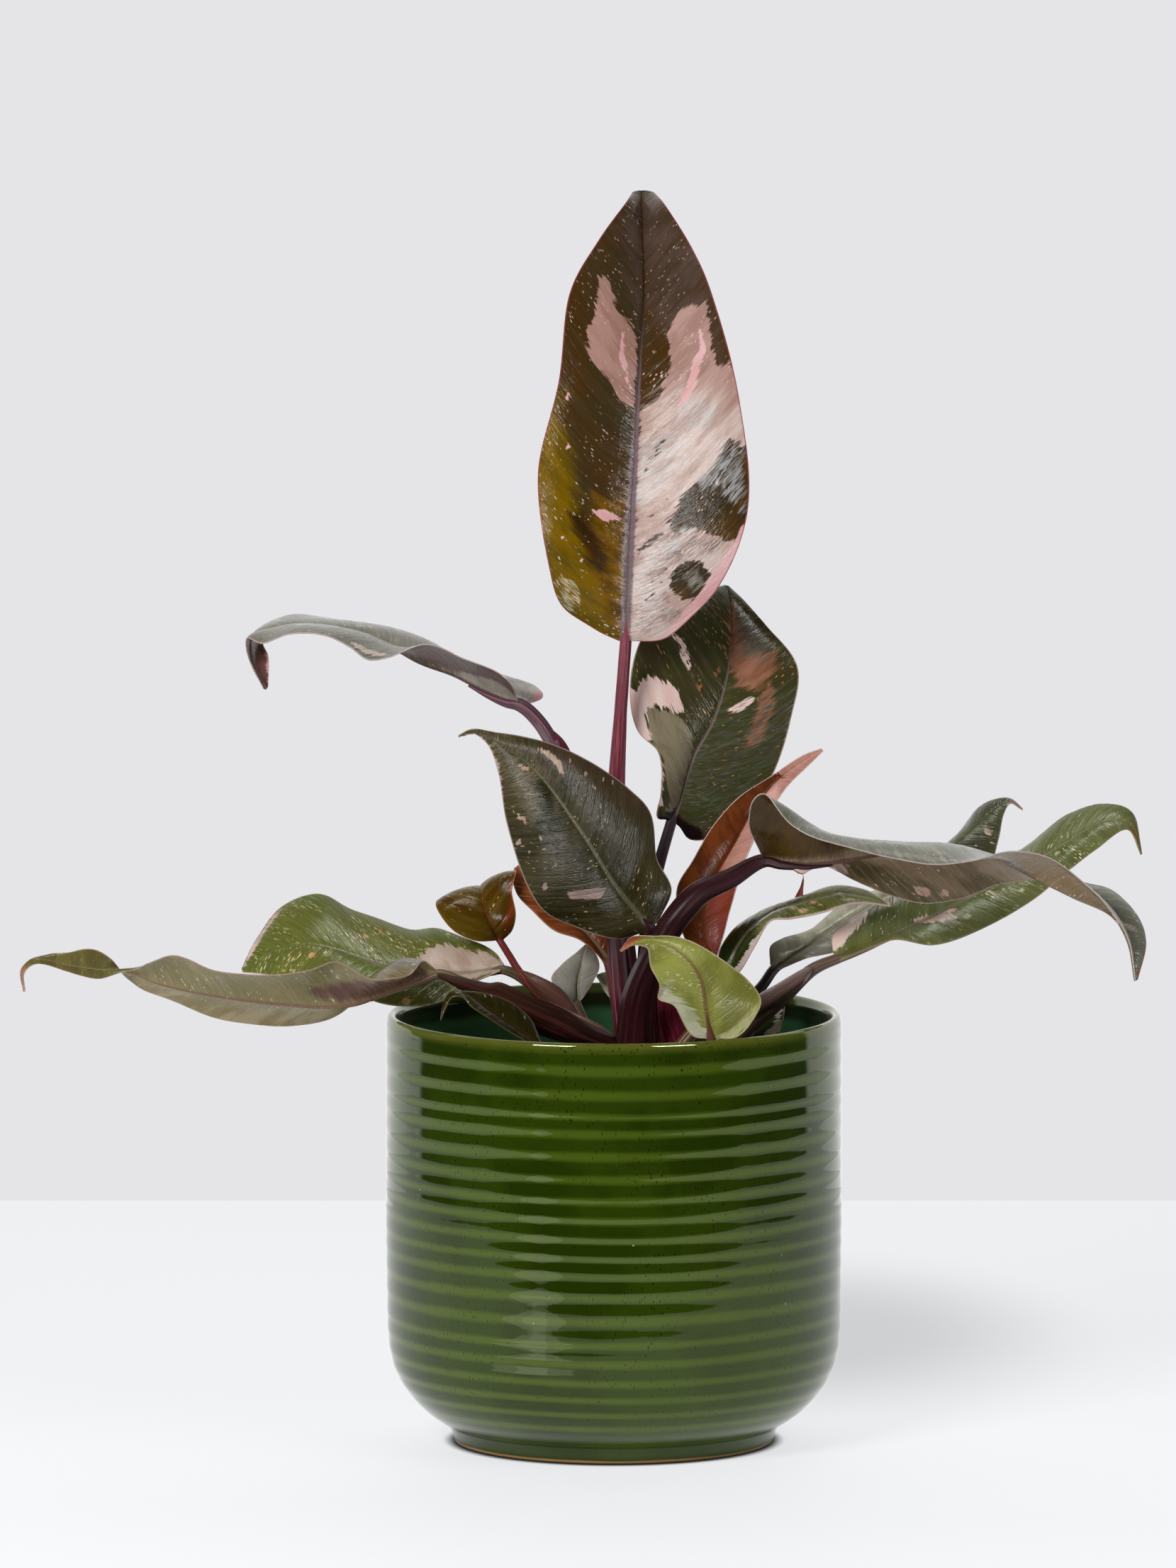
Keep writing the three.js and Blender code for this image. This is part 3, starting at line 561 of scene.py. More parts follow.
def wobble(rng, first, second, reach, count=6):
    """A smooth random height over two coordinates in millimetres, between about -1 and 1."""
    total = np.zeros(np.broadcast(first, second).shape)
    for _ in range(count):
        angle = rng.uniform(0, 2 * math.pi)
        wave = 2 * math.pi / (reach * rng.uniform(0.7, 1.6))
        phase = rng.uniform(0, 2 * math.pi)
        total = total + np.sin(wave * (first * math.cos(angle) + second * math.sin(angle)) + phase)
    return total / math.sqrt(count * 2)


# Leaf blades

BEYOND_MARGIN = 1.05
FAR_OUTSIDE = -99.0
PORE_DEPTH, VEIN_DEPTH = 0.012, 0.06
VEIN_SWAY, VEIN_SWAY_REACH = 1.1, 11
RIB_GROOVE = 0.3


class Blade:
    """One leaf blade between its left margin, midrib and right margin."""

    def __init__(self, name, leaf, look):
        self.name, self.look = name, look
        self.rng = np.random.default_rng(look["seed"])
        rib_line = smooth_curve(leaf["rib"])
        self.length = lengths(rib_line)[-1]
        rows = max(60, int(self.length / ROW_STEP))
        self.along = np.linspace(0, 1, rows + 1)
        self.rib = at_shares(rib_line, self.along)
        self.left, self.right = (
            at_shares(smooth_curve(leaf[side]), self.along) for side in ("left", "right")
        )
        spread = np.linspace(-1, 1, 2 * COLUMNS + 1)
        self.across = np.sign(spread) * np.abs(spread) ** 1.2
        self.half = {
            -1: np.linalg.norm(self.left - self.rib, axis=1),
            1: np.linalg.norm(self.right - self.rib, axis=1),
        }

    def middle_grid(self):
        """The blade's middle surface, cambered towards its upper face."""
        tangent = unit(np.gradient(self.rib, axis=0))
        grid = np.zeros((len(self.along), len(self.across), 3))
        for j, share in enumerate(self.across):
            half = (self.left if share < 0 else self.right) - self.rib
            up = np.cross(tangent, half) if share < 0 else np.cross(half, tangent)
            lift = CAMBER * 4 * abs(share) * (1 - abs(share)) * np.linalg.norm(half, axis=1)
            grid[:, j] = self.rib + half * abs(share) + unit(up) * lift[:, None]
        return grid

    def build(self):
        look, rng = self.look, self.rng
        grid = self.middle_grid()
        rows, columns = grid.shape[:2]
        normal = unit(np.cross(np.gradient(grid, axis=1), np.gradient(grid, axis=0)))
        side = np.where(self.across < 0, -1, 1)
        half = np.where(side[None] < 0, self.half[-1][:, None], self.half[1][:, None])
        run = np.broadcast_to(self.along[:, None] * self.length, (rows, columns))
        off = self.across[None] * half
        edge = (1 - np.abs(self.across))[None] * half
        vein = run - look["slope"] * np.abs(off) - look["bend"] * off**2 / 40
        vein = vein + VEIN_SWAY * np.sin(vein / VEIN_SWAY_REACH + look["seed"])
        fade = np.clip(self.along * 12, 0, 1)[:, None] * np.clip((1 - self.along) * 9, 0, 1)[:, None]

        gap = look["vein_gap"]
        nearest = np.abs((vein / gap + 0.5) % 1 - 0.5) * 2
        pillow = look["pleat"] * (1 - (1 - nearest) ** 2.2) * fade
        pillow = pillow * np.clip(np.abs(off) / 3, 0, 1) * np.clip(edge / 3, 0.25, 1)
        sway = look["wave"] * wobble(rng, run, off * 0.5, look["wave_reach"])
        sway = sway * np.abs(self.across)[None] ** 1.6
        off_rib = np.clip(np.abs(off) / 4, 0, 1)
        dents = look["dent"] * wobble(rng, run, off, 13) * off_rib
        creases = look["dent"] * 0.35 * wobble(rng, vein * 1.5, off * 0.35, 6) * off_rib
        height = pillow + (sway + dents + creases) * fade

        rib_size = (1 - 0.75 * self.along)[:, None]
        ridge = RIB_HEIGHT * rib_size * np.exp(-(off / (1.5 * rib_size + 0.3)) ** 2)
        groove = RIB_GROOVE * rib_size * np.exp(-(off / (0.9 * rib_size + 0.2)) ** 2)
        thin = MARGIN_THICKNESS + (BLADE_THICKNESS - MARGIN_THICKNESS) * np.clip(edge / 5, 0, 1)
        upper = grid + normal * (height + thin / 2 - groove)[..., None]
        lower = grid + normal * (height - thin / 2 - ridge)[..., None]

        points = np.vstack([upper.reshape(-1, 3), lower.reshape(-1, 3)])
        count = rows * columns
        faces = strip_faces(rows, columns, flip=False) + strip_faces(rows, columns, count, flip=True)
        for j, turn in ((0, True), (columns - 1, False)):
            for i in range(rows - 1):
                a, b = i * columns + j, (i + 1) * columns + j
                quad = (a, b, b + count, a + count)
                faces.append(quad if not turn else quad[::-1])
        for i, turn in ((0, False), (rows - 1, True)):
            for j in range(columns - 1):
                a, b = i * columns + j, i * columns + j + 1
                quad = (b, a, a + count, b + count)
                faces.append(quad[::-1] if not turn else quad)

        made = as_object(self.name + "_blade", points, faces, leaf_material(self.name, look))
        twice = lambda values: np.tile(np.broadcast_to(values, (rows, columns)).ravel(), 2)
        face = np.r_[np.ones(count), np.zeros(count)]
        shares = [twice(self.along[:, None]), twice(self.across[None]), face]
        paint_values(made, "veins", np.stack([twice(vein), twice(off), twice(edge)], axis=1))
        paint_values(made, "place", np.stack(shares, axis=1))
        for number, layer in enumerate(look["layers"]):
            paint_values(made, f"patch_{number}", twice(self.depth_inside(layer["shapes"], run, off)))
        settle(made, look["slot"], self.name)
        return made

    def spot(self, along, across):
        """A place on the blade in millimetres along and off the midrib, or clear of the margin."""
        side = self.half[-1 if across < 0 else 1]
        half = np.interp(along, self.along, side) if abs(across) < BEYOND_MARGIN else side.max() * 1.2
        return along * self.length, across * half

    def depth_inside(self, shapes, run, off):
        """How far each place lies inside the nearest of the shapes, in millimetres."""
        best = np.full(run.shape, FAR_OUTSIDE)
        for shape in shapes:
            corners = np.array([self.spot(*corner) for corner in shape["points"]])
            if "width" in shape:
                away, share = line_distance(corners, run, off)
                taper = 1 - np.abs(2 * share - 0.9) ** 2.5
                best = np.maximum(best, shape["width"] / 2 * taper - away)
                continue
            away, _ = line_distance(np.vstack([corners, corners[:1]]), run, off)
            best = np.maximum(best, np.where(inside(corners, run, off), away, -away))
        return best


def line_distance(corners, x, y):
    """The distance from a polyline, and how far along it the nearest place lies."""
    nearest, where = np.full(x.shape, 1e9), np.zeros(x.shape)
    run = np.r_[0, np.cumsum(np.hypot(*np.diff(corners, axis=0).T))]
    for i, ((ax, ay), (bx, by)) in enumerate(zip(corners[:-1], corners[1:])):
        dx, dy = bx - ax, by - ay
        share = np.clip(((x - ax) * dx + (y - ay) * dy) / max(dx * dx + dy * dy, 1e-9), 0, 1)
        away = np.hypot(x - ax - share * dx, y - ay - share * dy)
        where = np.where(away < nearest, (run[i] + share * (run[i + 1] - run[i])) / run[-1], where)
        nearest = np.minimum(nearest, away)
    return nearest, where


def inside(corners, x, y):
    """Which places lie inside a closed outline."""
    odd = np.zeros(x.shape, bool)
    for (ax, ay), (bx, by) in zip(corners, np.roll(corners, -1, axis=0)):
        crosses = (ay > y) != (by > y)
        odd ^= crosses & (x < (bx - ax) * (y - ay) / (by - ay + 1e-12) + ax)
    return odd


def leaf_material(name, look):
    """Two-sided leaf: tones, vein lines, streaks, flecks, patches, midrib and margin."""
    s = Shader(name + "_skin")
    vein, off, edge = s.axes(s.attribute("veins").outputs["Vector"])
    along, across, face = s.axes(s.attribute("place").outputs["Vector"])
    seed = look["seed"] * 7.3

    def grain(per_vein, per_off, turn, **settings):
        """Noise with its own scale across the veins and along them, per millimetre."""
        return s.noise(s.vector(s.times(vein, per_vein), s.times(off, per_off), seed + turn), **settings)

    streak = grain(0.5, 0.055, 0, detail=4)
    fine = grain(2.2, 0.3, 3, detail=3)
    broad = grain(0.045, 0.045, 9, detail=2)
    blotch = grain(0.16, 0.07, 7, detail=5, rough=0.62)

    upper = s.mix(s.ramp(broad, 0.38, 0.62), look["upper"], look["upper_b"])
    under = s.mix(s.ramp(broad, 0.4, 0.6), look["under"], look["under_b"])
    colour = s.mix(s.ramp(face, 0.45, 0.55), under, upper)
    colour = s.mix(s.ramp(streak, 0.42, 0.7, 0.0, look["streak_show"] * 2), colour, look["streak"])
    darker = s.mix(1.0, colour, (120, 120, 120), "MULTIPLY")
    colour = s.mix(s.ramp(fine, 0.42, 0.7, 0.0, 0.2), colour, darker)

    to_vein = s.math("PINGPONG", vein, look["vein_gap"] / 2)
    line = s.ramp(to_vein, 0.1, 0.5, 1.0, 0.0)
    line = s.times(line, s.ramp(streak, 0.3, 0.6, 0.05, look["vein_show"]))
    colour = s.mix(line, colour, look["vein"])

    def flecked(below, rows):
        """Flecks of some size across and reach along the veins, denser in some places."""
        for size, reach, amount in rows:
            spots = s.cells(s.vector(s.times(vein, 1 / size), s.times(off, 1 / reach), seed + size))
            gather = s.ramp(grain(0.09, 0.06, 5), 0.42, 0.6)
            below = s.mix(s.times(s.dots(spots, 0, 1 - amount, 0.12, 0.34), gather), below, look["fleck"])
        return below

    colour = flecked(colour, look["flecks"])

    rough = s.ramp(streak, 0.3, 0.7, look["rough"] - 0.04, look["rough"] + 0.06)
    for number, layer in enumerate(look["layers"]):
        depth = s.attribute(f"patch_{number}").outputs["Fac"]
        jag = layer.get("jag", 2.2)
        torn = s.plus(s.swing(streak, jag * 2.4), s.swing(fine, jag * 1.1))
        soft = layer.get("soft", 0.25)
        mask = s.ramp(s.plus(depth, torn), -soft, soft)
        if "face" in layer:
            mask = s.times(mask, s.ramp(face, 0.45, 0.55, 1 - layer["face"], layer["face"]))
        if "cover" in layer:
            open_share = 0.4 * layer["cover"]
            mask = s.times(mask, s.ramp(fine, 0.62 - open_share, 0.72 - open_share))
        second = layer.get("second", tint(layer["colour"], 0.85))
        paint = s.mix(s.ramp(blotch, 0.4, 0.62), layer["colour"], second)
        colour = s.mix(mask, colour, paint)
    colour = flecked(colour, look["top_flecks"])

    rib_width = s.ramp(along, 0.0, 1.0, look["rib_width"], 0.35)
    on_rib = s.ramp(s.math("DIVIDE", s.math("ABSOLUTE", off), rib_width), 0.7, 1.2, 1.0, 0.0)
    rib = s.mix(s.ramp(face, 0.45, 0.55), look["rib_under"], look["rib"])
    rib = s.mix(s.ramp(along, look["rib_fade"][0], look["rib_fade"][1]), rib, look["rib_tip"])
    colour = s.mix(s.times(on_rib, look["rib_show"]), colour, rib)
    rim = s.ramp(s.plus(edge, s.swing(fine, 0.5)), 0.25, look["edge_width"], 1.0, 0.0)
    colour = s.mix(s.times(rim, look["edge_show"]), colour, look["edge"])

    normal = s.bump(grain(1.3, 0.5, 1, detail=2, rough=0.5), look["crinkle"] * MM)
    normal = s.bump(grain(4.5, 3.5, 2, detail=2), PORE_DEPTH * MM, normal)
    normal = s.bump(s.ramp(to_vein, 0.0, 0.7, -1.0, 0.0), VEIN_DEPTH * MM, normal)
    s.set(Base_Color=colour, Roughness=rough, Normal=normal)
    s.set(IOR=1.28, Coat_Weight=look["coat"], Coat_Roughness=0.16)
    return s.material


# What each leaf looks like, with colours from 0 to 255 and lengths in millimetres.
# A patch's corners are given along the midrib and across the blade, as shares.

def area(*corners):
    """A closed form."""
    return dict(points=corners)


def streak(width, *corners):
    """A band of one width that tapers at its ends."""
    return dict(points=corners, width=width)


def dash(along, across, width=1.6, reach=0.02):
    """A short mark that follows the veins."""
    out = math.copysign(reach * 2.5, across)
    return streak(width, (along, across), (along + reach, across + out))


def patch(colour, *shapes, **settings):
    """One colour over some shapes; jag, soft, cover, face and second change how it lies."""
    return dict(colour=colour, shapes=shapes, **settings)


def look(slot, seed, upper, under, *layers, **changes):
    """A leaf's slot, seed, tones of both faces and patches, and what differs from the usual leaf."""
    values = dict(
        slot=slot, seed=seed, layers=layers, upper=upper, upper_b=tint(upper, 0.75), under=under,
        under_b=tint(under, 0.75), streak=tint(upper, 1.4), streak_show=0.15, vein=tint(upper, 1.3),
        vein_show=0.12, fleck=(205, 205, 160), flecks=((1.3, 2.4, 0.14), (0.7, 1.5, 0.14)),
        top_flecks=(),
        rough=0.2, rib=(135, 128, 105), rib_tip=tint(upper, 1.1), rib_fade=(0.5, 0.9),
        rib_under=(110, 60, 50), rib_width=1.3, rib_show=0.75, edge=(200, 170, 160), edge_width=0.6,
        edge_show=0.6, slope=0.7, bend=0.25, vein_gap=5.5, pleat=0.1, wave=1.0, wave_reach=34,
        dent=0.1, crinkle=0.16, coat=0.0,
    )
    values.update(changes)
    return values


PINK_DUST = (192, 149, 136)
PINK_BRIGHT = (244, 198, 198)
CREAM_PINK = (252, 226, 216)

LOOKS = {
    "leaf_tall": look(
        "leaf_dark", 1, (78, 51, 18), (95, 70, 55),
        # Painted sheen near the tip: a lighter grey-brown film over the dark blade
        patch(
            (94, 74, 64),
            area(
                (1.05, 0.04), (0.96, 0.8), (0.86, 0.95), (0.72, 0.97), (0.6, 0.9), (0.66, 0.3),
                (0.72, 0.04),
            ),
            area((1.05, -0.04), (0.96, -0.7), (0.84, -0.6), (0.78, -0.3), (0.62, -0.04)),
            second=(76, 60, 46), soft=6, jag=5, cover=0.8,
        ),
        patch(
            (130, 98, 2),
            area(
                (0.56, -1.1), (0.53, -0.93), (0.48, -0.9), (0.42, -0.7), (0.35, -0.62), (0.28, -0.55),
                (0.21, -0.45), (0.15, -0.27), (0.1, -0.3), (-0.05, -0.25), (-0.05, -1.1),
            ),
            second=(104, 82, 8), soft=4, jag=4,
        ),
        patch(
            (136, 96, 4),
            area(
                (0.33, -0.45), (0.3, -0.1), (0.2, -0.03), (0.0, -0.05), (-0.05, -0.35), (0.12, -0.45),
                (0.22, -0.52),
            ),
            second=(98, 66, 6), soft=4, jag=5,
        ),
        patch(
            (64, 40, 10),
            area(
                (0.3, -0.68), (0.3, -0.55), (0.26, -0.45), (0.21, -0.3), (0.17, -0.27), (0.17, -0.4),
                (0.19, -0.5), (0.24, -0.6), (0.27, -0.68),
            ),
            soft=2.4, jag=3,
        ),
        patch(
            PINK_DUST,
            area(
                (0.75, -0.72), (0.75, -0.62), (0.72, -0.45), (0.7, -0.38), (0.67, -0.15), (0.63, -0.06),
                (0.56, -0.04), (0.5, -0.04), (0.52, -0.25), (0.56, -0.4), (0.59, -0.6), (0.64, -0.75),
                (0.69, -0.65),
            ),
            second=(176, 132, 118), jag=3,
        ),
        patch(
            (196, 158, 147),
            area(
                (0.71, 0.7), (0.7, 0.78), (0.71, 0.9), (0.67, 0.88), (0.62, 0.85), (0.59, 0.85),
                (0.6, 0.96), (0.6, 1.1), (-0.05, 1.1), (-0.05, 0.05), (0.25, 0.05), (0.4, 0.03),
                (0.48, 0.05), (0.53, 0.23), (0.6, 0.38), (0.65, 0.33), (0.69, 0.5),
            ),
            second=(174, 136, 124), jag=3,
        ),
        patch(
            (226, 202, 192),
            area((0.5, 0.1), (0.56, 0.5), (0.5, 1.1), (-0.05, 1.1), (-0.05, 0.04), (0.4, 0.03)),
            second=(196, 164, 152), soft=5, jag=9,
        ),
        patch(
            (58, 44, 20),
            area(
                (0.47, 0.85), (0.43, 1.1), (0.3, 1.1), (0.28, 0.93), (0.285, 0.78), (0.28, 0.66),
                (0.29, 0.58), (0.26, 0.45), (0.28, 0.35), (0.3, 0.38), (0.34, 0.45), (0.37, 0.55),
                (0.39, 0.66), (0.44, 0.76),
            ),
            area(
                (0.23, 0.65), (0.225, 0.83), (0.2, 0.9), (0.17, 0.92), (0.145, 0.86), (0.145, 0.7),
                (0.155, 0.56), (0.18, 0.48), (0.21, 0.53),
            ),
            streak(1.4, (0.2, 0.1), (0.23, 0.28), (0.27, 0.45)),
            streak(2.4, (0.36, 0.08), (0.42, 0.22), (0.45, 0.3)), jag=3.5, second=(84, 58, 18),
        ),
        # Painted glare: a silvery film over the upper dark patch
        patch(
            (176, 174, 174),
            area(
                (0.46, 0.8), (0.46, 0.95), (0.41, 0.95), (0.35, 0.98), (0.34, 0.93), (0.36, 0.85),
                (0.38, 0.73), (0.36, 0.6), (0.38, 0.58), (0.41, 0.68), (0.43, 0.75),
            ),
            cover=0.5, soft=1.2, jag=5, second=(120, 112, 104),
        ),
        # Painted glare: whitish streaked patches near the midrib
        patch(
            (228, 220, 216),
            area(
                (0.43, 0.07), (0.46, 0.3), (0.45, 0.53), (0.41, 0.45), (0.36, 0.3), (0.3, 0.07),
                (0.36, 0.05),
            ),
            area((0.53, 0.62), (0.51, 0.78), (0.46, 0.68), (0.48, 0.5), (0.51, 0.38)), cover=0.42, soft=1.5,
            jag=6,
        ),
        # Painted glare: a silvery white zone at the base of the right half
        patch(
            (206, 198, 195),
            area(
                (0.2, 0.1), (0.27, 0.35), (0.28, 0.55), (0.28, 0.85), (0.25, 0.93), (0.24, 0.68),
                (0.21, 0.5), (0.17, 0.45), (0.13, 0.6), (0.12, 0.83), (0.1, 0.83), (0.06, 0.73),
                (0.03, 0.33), (0.14, 0.1),
            ),
            cover=0.42, soft=1.4, jag=5, second=(140, 124, 116),
        ),
        # Painted shade in the wrinkles: thin dark lines between the painted glare
        patch(
            (74, 46, 34), streak(1.2, (0.19, 0.1), (0.23, 0.2), (0.27, 0.38)),
            streak(0.8, (0.14, 0.3), (0.18, 0.4), (0.21, 0.5)),
            streak(0.7, (0.08, 0.23), (0.14, 0.4), (0.17, 0.45)),
            streak(0.7, (0.27, 0.1), (0.29, 0.23), (0.34, 0.35)), jag=1.4, cover=0.9,
        ),
        # Painted sheen: a small pale highlight on the lower dark patch
        patch(
            (150, 145, 132), area((0.19, 0.65), (0.21, 0.75), (0.19, 0.83), (0.17, 0.78)), soft=1.6, jag=2,
            cover=0.6,
        ),
        patch(
            PINK_BRIGHT,
            streak(3.4, (0.66, 0.74), (0.62, 0.73), (0.59, 0.62), (0.55, 0.55), (0.53, 0.48), (0.49, 0.35)),
            streak(2.2, (0.65, -0.27), (0.6, -0.25), (0.55, -0.14), (0.52, -0.06)),
            area((0.3, -0.47), (0.295, -0.3), (0.265, -0.1), (0.27, -0.32)),
            area(
                (0.33, 1.1), (0.32, 0.975), (0.28, 0.945), (0.21, 0.88), (0.14, 0.87), (0.06, 0.92),
                (0.02, 0.9), (-0.05, 1.1),
            ),
            streak(1.6, (0.53, -0.86), (0.51, -0.85)), dash(0.42, -0.72, 1.8, 0.012),
            dash(0.42, -0.5, 1.2, 0.008), dash(0.42, -0.4, 1.2, 0.008), dash(0.3, -0.76, 1.5, 0.01),
            dash(0.25, -0.79, 1.2, 0.008), dash(0.23, -0.63, 1.2, 0.01), dash(0.2, -0.6, 1.2, 0.008),
            jag=1.2, second=(236, 178, 178),
        ),
        patch(
            (205, 196, 160), area((0.18, -0.93), (0.17, -0.72), (0.12, -0.75), (0.1, -0.95), (0.14, -1.0)),
            cover=0.4,
        ),
        upper_b=(68, 54, 28), streak=(86, 72, 48), vein=(84, 70, 50), rib=(128, 108, 112),
        rib_tip=(62, 52, 36), rib_fade=(0.45, 0.75), edge=(165, 80, 85), edge_show=0.8, rib_width=2.6,
        rib_show=0.9, wave_reach=45, dent=0.12, crinkle=0.2, fleck=(235, 210, 190), flecks=(),
        top_flecks=((1.2, 2.2, 0.12), (0.8, 1.4, 0.2)), rough=0.18,
    ),
    "leaf_left_high": look(
        "leaf_grey", 2, (132, 129, 114), (112, 96, 76),
        patch(
            (210, 190, 180), streak(2.6, (0.7, -0.45), (0.64, -0.45)),
            streak(2.4, (0.55, 0.18), (0.51, 0.3)), streak(3.0, (0.54, -0.9), (0.41, -0.93)),
            streak(2, (0.8, 0.3), (0.76, 0.35)), cover=0.8,
        ),
        patch((190, 182, 172), area((0.14, 0.3), (0.12, 1.1), (-0.05, 1.1), (-0.05, 0.4)), face=1, soft=2),
        patch(
            (90, 54, 38),
            area(
                (0.42, -1.1), (0.42, -0.7), (0.33, -0.1), (0.2, -0.15), (0.1, -0.5), (0.02, -0.9),
                (0.02, -1.1),
            ),
            face=0, soft=2, jag=3,
        ),
        patch(
            (158, 148, 134), area((0.2, -0.2), (0.1, -0.5), (-0.05, -0.8), (-0.05, 0), (0.2, 0)), face=0,
            soft=1.5, jag=2,
        ),
        patch((128, 88, 84), area((0.8, -1.1), (1.05, -1.1), (1.05, 1.1), (0.88, 1.1)), soft=2),
        patch(
            (236, 176, 178), streak(2.2, (0.86, 1.0), (0.93, 1.0), (0.99, 0.9)),
            streak(1.5, (0.12, 1.0), (0.02, 0.98)),
        ),
        upper_b=(114, 113, 98), under_b=(88, 70, 54), fleck=(232, 208, 196), rib_under=(70, 32, 40),
        edge=(225, 200, 194), rough=0.22, vein_show=0.3,
    ),
    "leaf_centre": look(
        "leaf_deep_green", 3, (72, 64, 36), (95, 85, 60),
        # Painted sheen: a grey film over the outer half of the blade
        patch(
            (128, 116, 88),
            area((0.97, -0.05), (0.86, 0.6), (0.66, 0.3), (0.56, -0.1), (0.62, -0.6), (0.78, -0.9)), soft=6,
            jag=5, cover=0.5,
        ),
        patch(
            (80, 64, 42),
            area(
                (0.76, 0.83), (0.66, 1.1), (0.5, 1.1), (0.33, 1.1), (0.3, 0.8), (0.44, 0.62), (0.58, 0.55),
                (0.7, 0.48),
            ),
            soft=3, jag=4,
        ),
        patch(
            (46, 44, 8),
            area(
                (0.68, -0.25), (0.65, -0.05), (0.6, 0), (0.55, -0.17), (0.49, -0.15), (0.46, -0.27),
                (0.47, -0.47), (0.51, -0.57), (0.57, -0.55), (0.58, -0.38), (0.62, -0.32),
            ),
            soft=1.6, jag=2,
        ),
        patch(
            (186, 160, 150),
            area(
                (0.34, -0.65), (0.32, -0.55), (0.29, -0.42), (0.24, -0.25), (0.21, -0.17), (0.22, -0.35),
                (0.27, -0.55), (0.3, -0.65),
            ),
            dash(0.4, -0.78, 3.0, 0.02), dash(0.52, -0.54, 1.8), dash(0.57, -0.88, 2.4, 0.015),
            dash(0.52, -0.8, 1.8, 0.01), dash(0.5, 0.83, 2.0, 0.012), dash(0.47, 0.89, 2.2, 0.014), jag=1.5,
        ),
        patch(
            (214, 180, 156), streak(2.0, (0.74, 0.66), (0.7, 0.63), (0.66, 0.56), (0.6, 0.38)),
            streak(1.4, (0.67, -0.82), (0.58, -0.62)), streak(1.2, (0.76, -0.2), (0.68, -0.07)),
            dash(0.55, 0.7, 1.3), dash(0.5, 0.6, 1.2), dash(0.62, 0.75, 1.1), cover=0.85, jag=1.5,
        ),
        patch((205, 178, 170), streak(1.8, (0.95, -1.0), (0.85, -1.0), (0.72, -1.0)), soft=0.5),
        upper_b=(54, 48, 22), rough=0.27, streak=(104, 104, 84), rib=(118, 118, 92), rib_tip=(80, 80, 52),
        rib_width=1.1, rib_show=0.65, fleck=(222, 192, 140), edge=(205, 175, 165),
        flecks=((1.1, 2.8, 0.16), (0.7, 1.5, 0.2)), crinkle=0.18, vein_show=0.08, pleat=0.04,
    ),
    "leaf_back": look(
        "leaf_deep_green", 4, (62, 66, 32), (110, 100, 70),
        patch(
            (160, 112, 88),
            area(
                (0.9, 0.1), (0.76, 0.25), (0.7, 0.33), (0.71, 0.5), (0.7, 0.78), (0.65, 0.7), (0.6, 0.58),
                (0.56, 0.5), (0.56, 0.23), (0.62, 0.07), (0.68, 0.0), (0.74, -0.02), (0.82, -0.05),
            ),
            streak(6, (0.62, 0.6), (0.53, 0.62), (0.43, 0.6), (0.37, 0.48)), jag=4, soft=1.2,
            second=(128, 84, 60),
        ),
        patch(
            (152, 140, 114),
            area(
                (0.43, -0.85), (0.42, -0.57), (0.4, -0.38), (0.35, -0.2), (0.27, -0.02), (0.2, -0.05),
                (0.06, -0.1), (0.04, -0.5), (0.16, -0.85), (0.3, -0.9),
            ),
            second=(126, 116, 92),
        ),
        # Painted sheen: a grey patch on the outer right part of the blade
        patch(
            (108, 102, 88),
            area((0.87, 0.12), (0.82, 0.58), (0.73, 0.7), (0.67, 0.48), (0.69, 0.23), (0.78, 0.12)), soft=3,
            jag=4, cover=0.6,
        ),
        patch(
            CREAM_PINK,
            area(
                (0.47, -1.1), (0.46, -0.92), (0.51, -0.88), (0.52, -0.75), (0.5, -0.5), (0.42, -0.4),
                (0.42, -0.5), (0.45, -0.58), (0.42, -0.62), (0.43, -0.78), (0.4, -0.85), (0.3, -0.86),
                (0.24, -1.1),
            ),
            streak(2.6, (0.68, -0.75), (0.66, -0.6), (0.62, -0.52), (0.57, -0.4)),
            streak(3.4, (0.47, 0.16), (0.5, 0.28), (0.56, 0.48)),
            streak(1.2, (0.24, -0.97), (0.15, -0.97), (0.06, -0.95)), jag=2.4, second=(244, 206, 198),
        ),
        patch(
            (190, 122, 88), dash(0.68, -0.06, 2.2, 0.03), dash(0.59, -0.08, 2.4, 0.03),
            dash(0.52, -0.26, 1.8), dash(0.42, 0.5, 2.2, 0.03), dash(0.8, 0.02, 2.4, 0.03), cover=0.45,
        ),
        # Painted sheen: a broad, faint grey film over the middle of the blade
        patch(
            (88, 92, 78),
            area(
                (0.3, -0.17), (0.47, 0.2), (0.57, 0.68), (0.57, 1), (0.41, 1), (0.24, 0.9), (0.1, 0.62),
                (0.11, -0.15),
            ),
            soft=5, jag=7, cover=0.36,
        ),
        patch(
            (34, 20, 24),
            area((0.055, -1.1), (0.045, 0.3), (0.09, 0.75), (0.07, 1.1), (-0.05, 1.1), (-0.05, -1.1)),
            soft=0.8,
        ),
        upper_b=(68, 62, 34), streak=(100, 98, 72), fleck=(226, 168, 110), edge=(215, 185, 172),
        flecks=((1.2, 3.0, 0.2), (0.8, 1.7, 0.22)), rib=(128, 112, 106), rib_width=1.3, crinkle=0.18,
    ),
    "leaf_rolled": look(
        "leaf_russet", 5, (204, 146, 130), (132, 62, 18),
        patch(
            (120, 60, 24), area((0.82, 0.1), (0.8, -1.1), (-0.05, -1.1), (-0.05, 0.02), (0.4, 0.02)),
            face=1, soft=0.5, second=(92, 44, 20),
        ),
        patch(
            (146, 68, 58), area((0.36, 0.0), (0.3, 1.1), (-0.05, 1.1), (-0.05, 0.05)), face=1, soft=2.5,
            second=(132, 60, 34),
        ),
        patch((232, 178, 168), area((0.78, 0.1), (0.74, 0.9), (0.64, 0.8), (0.66, 0.1)), soft=1.5),
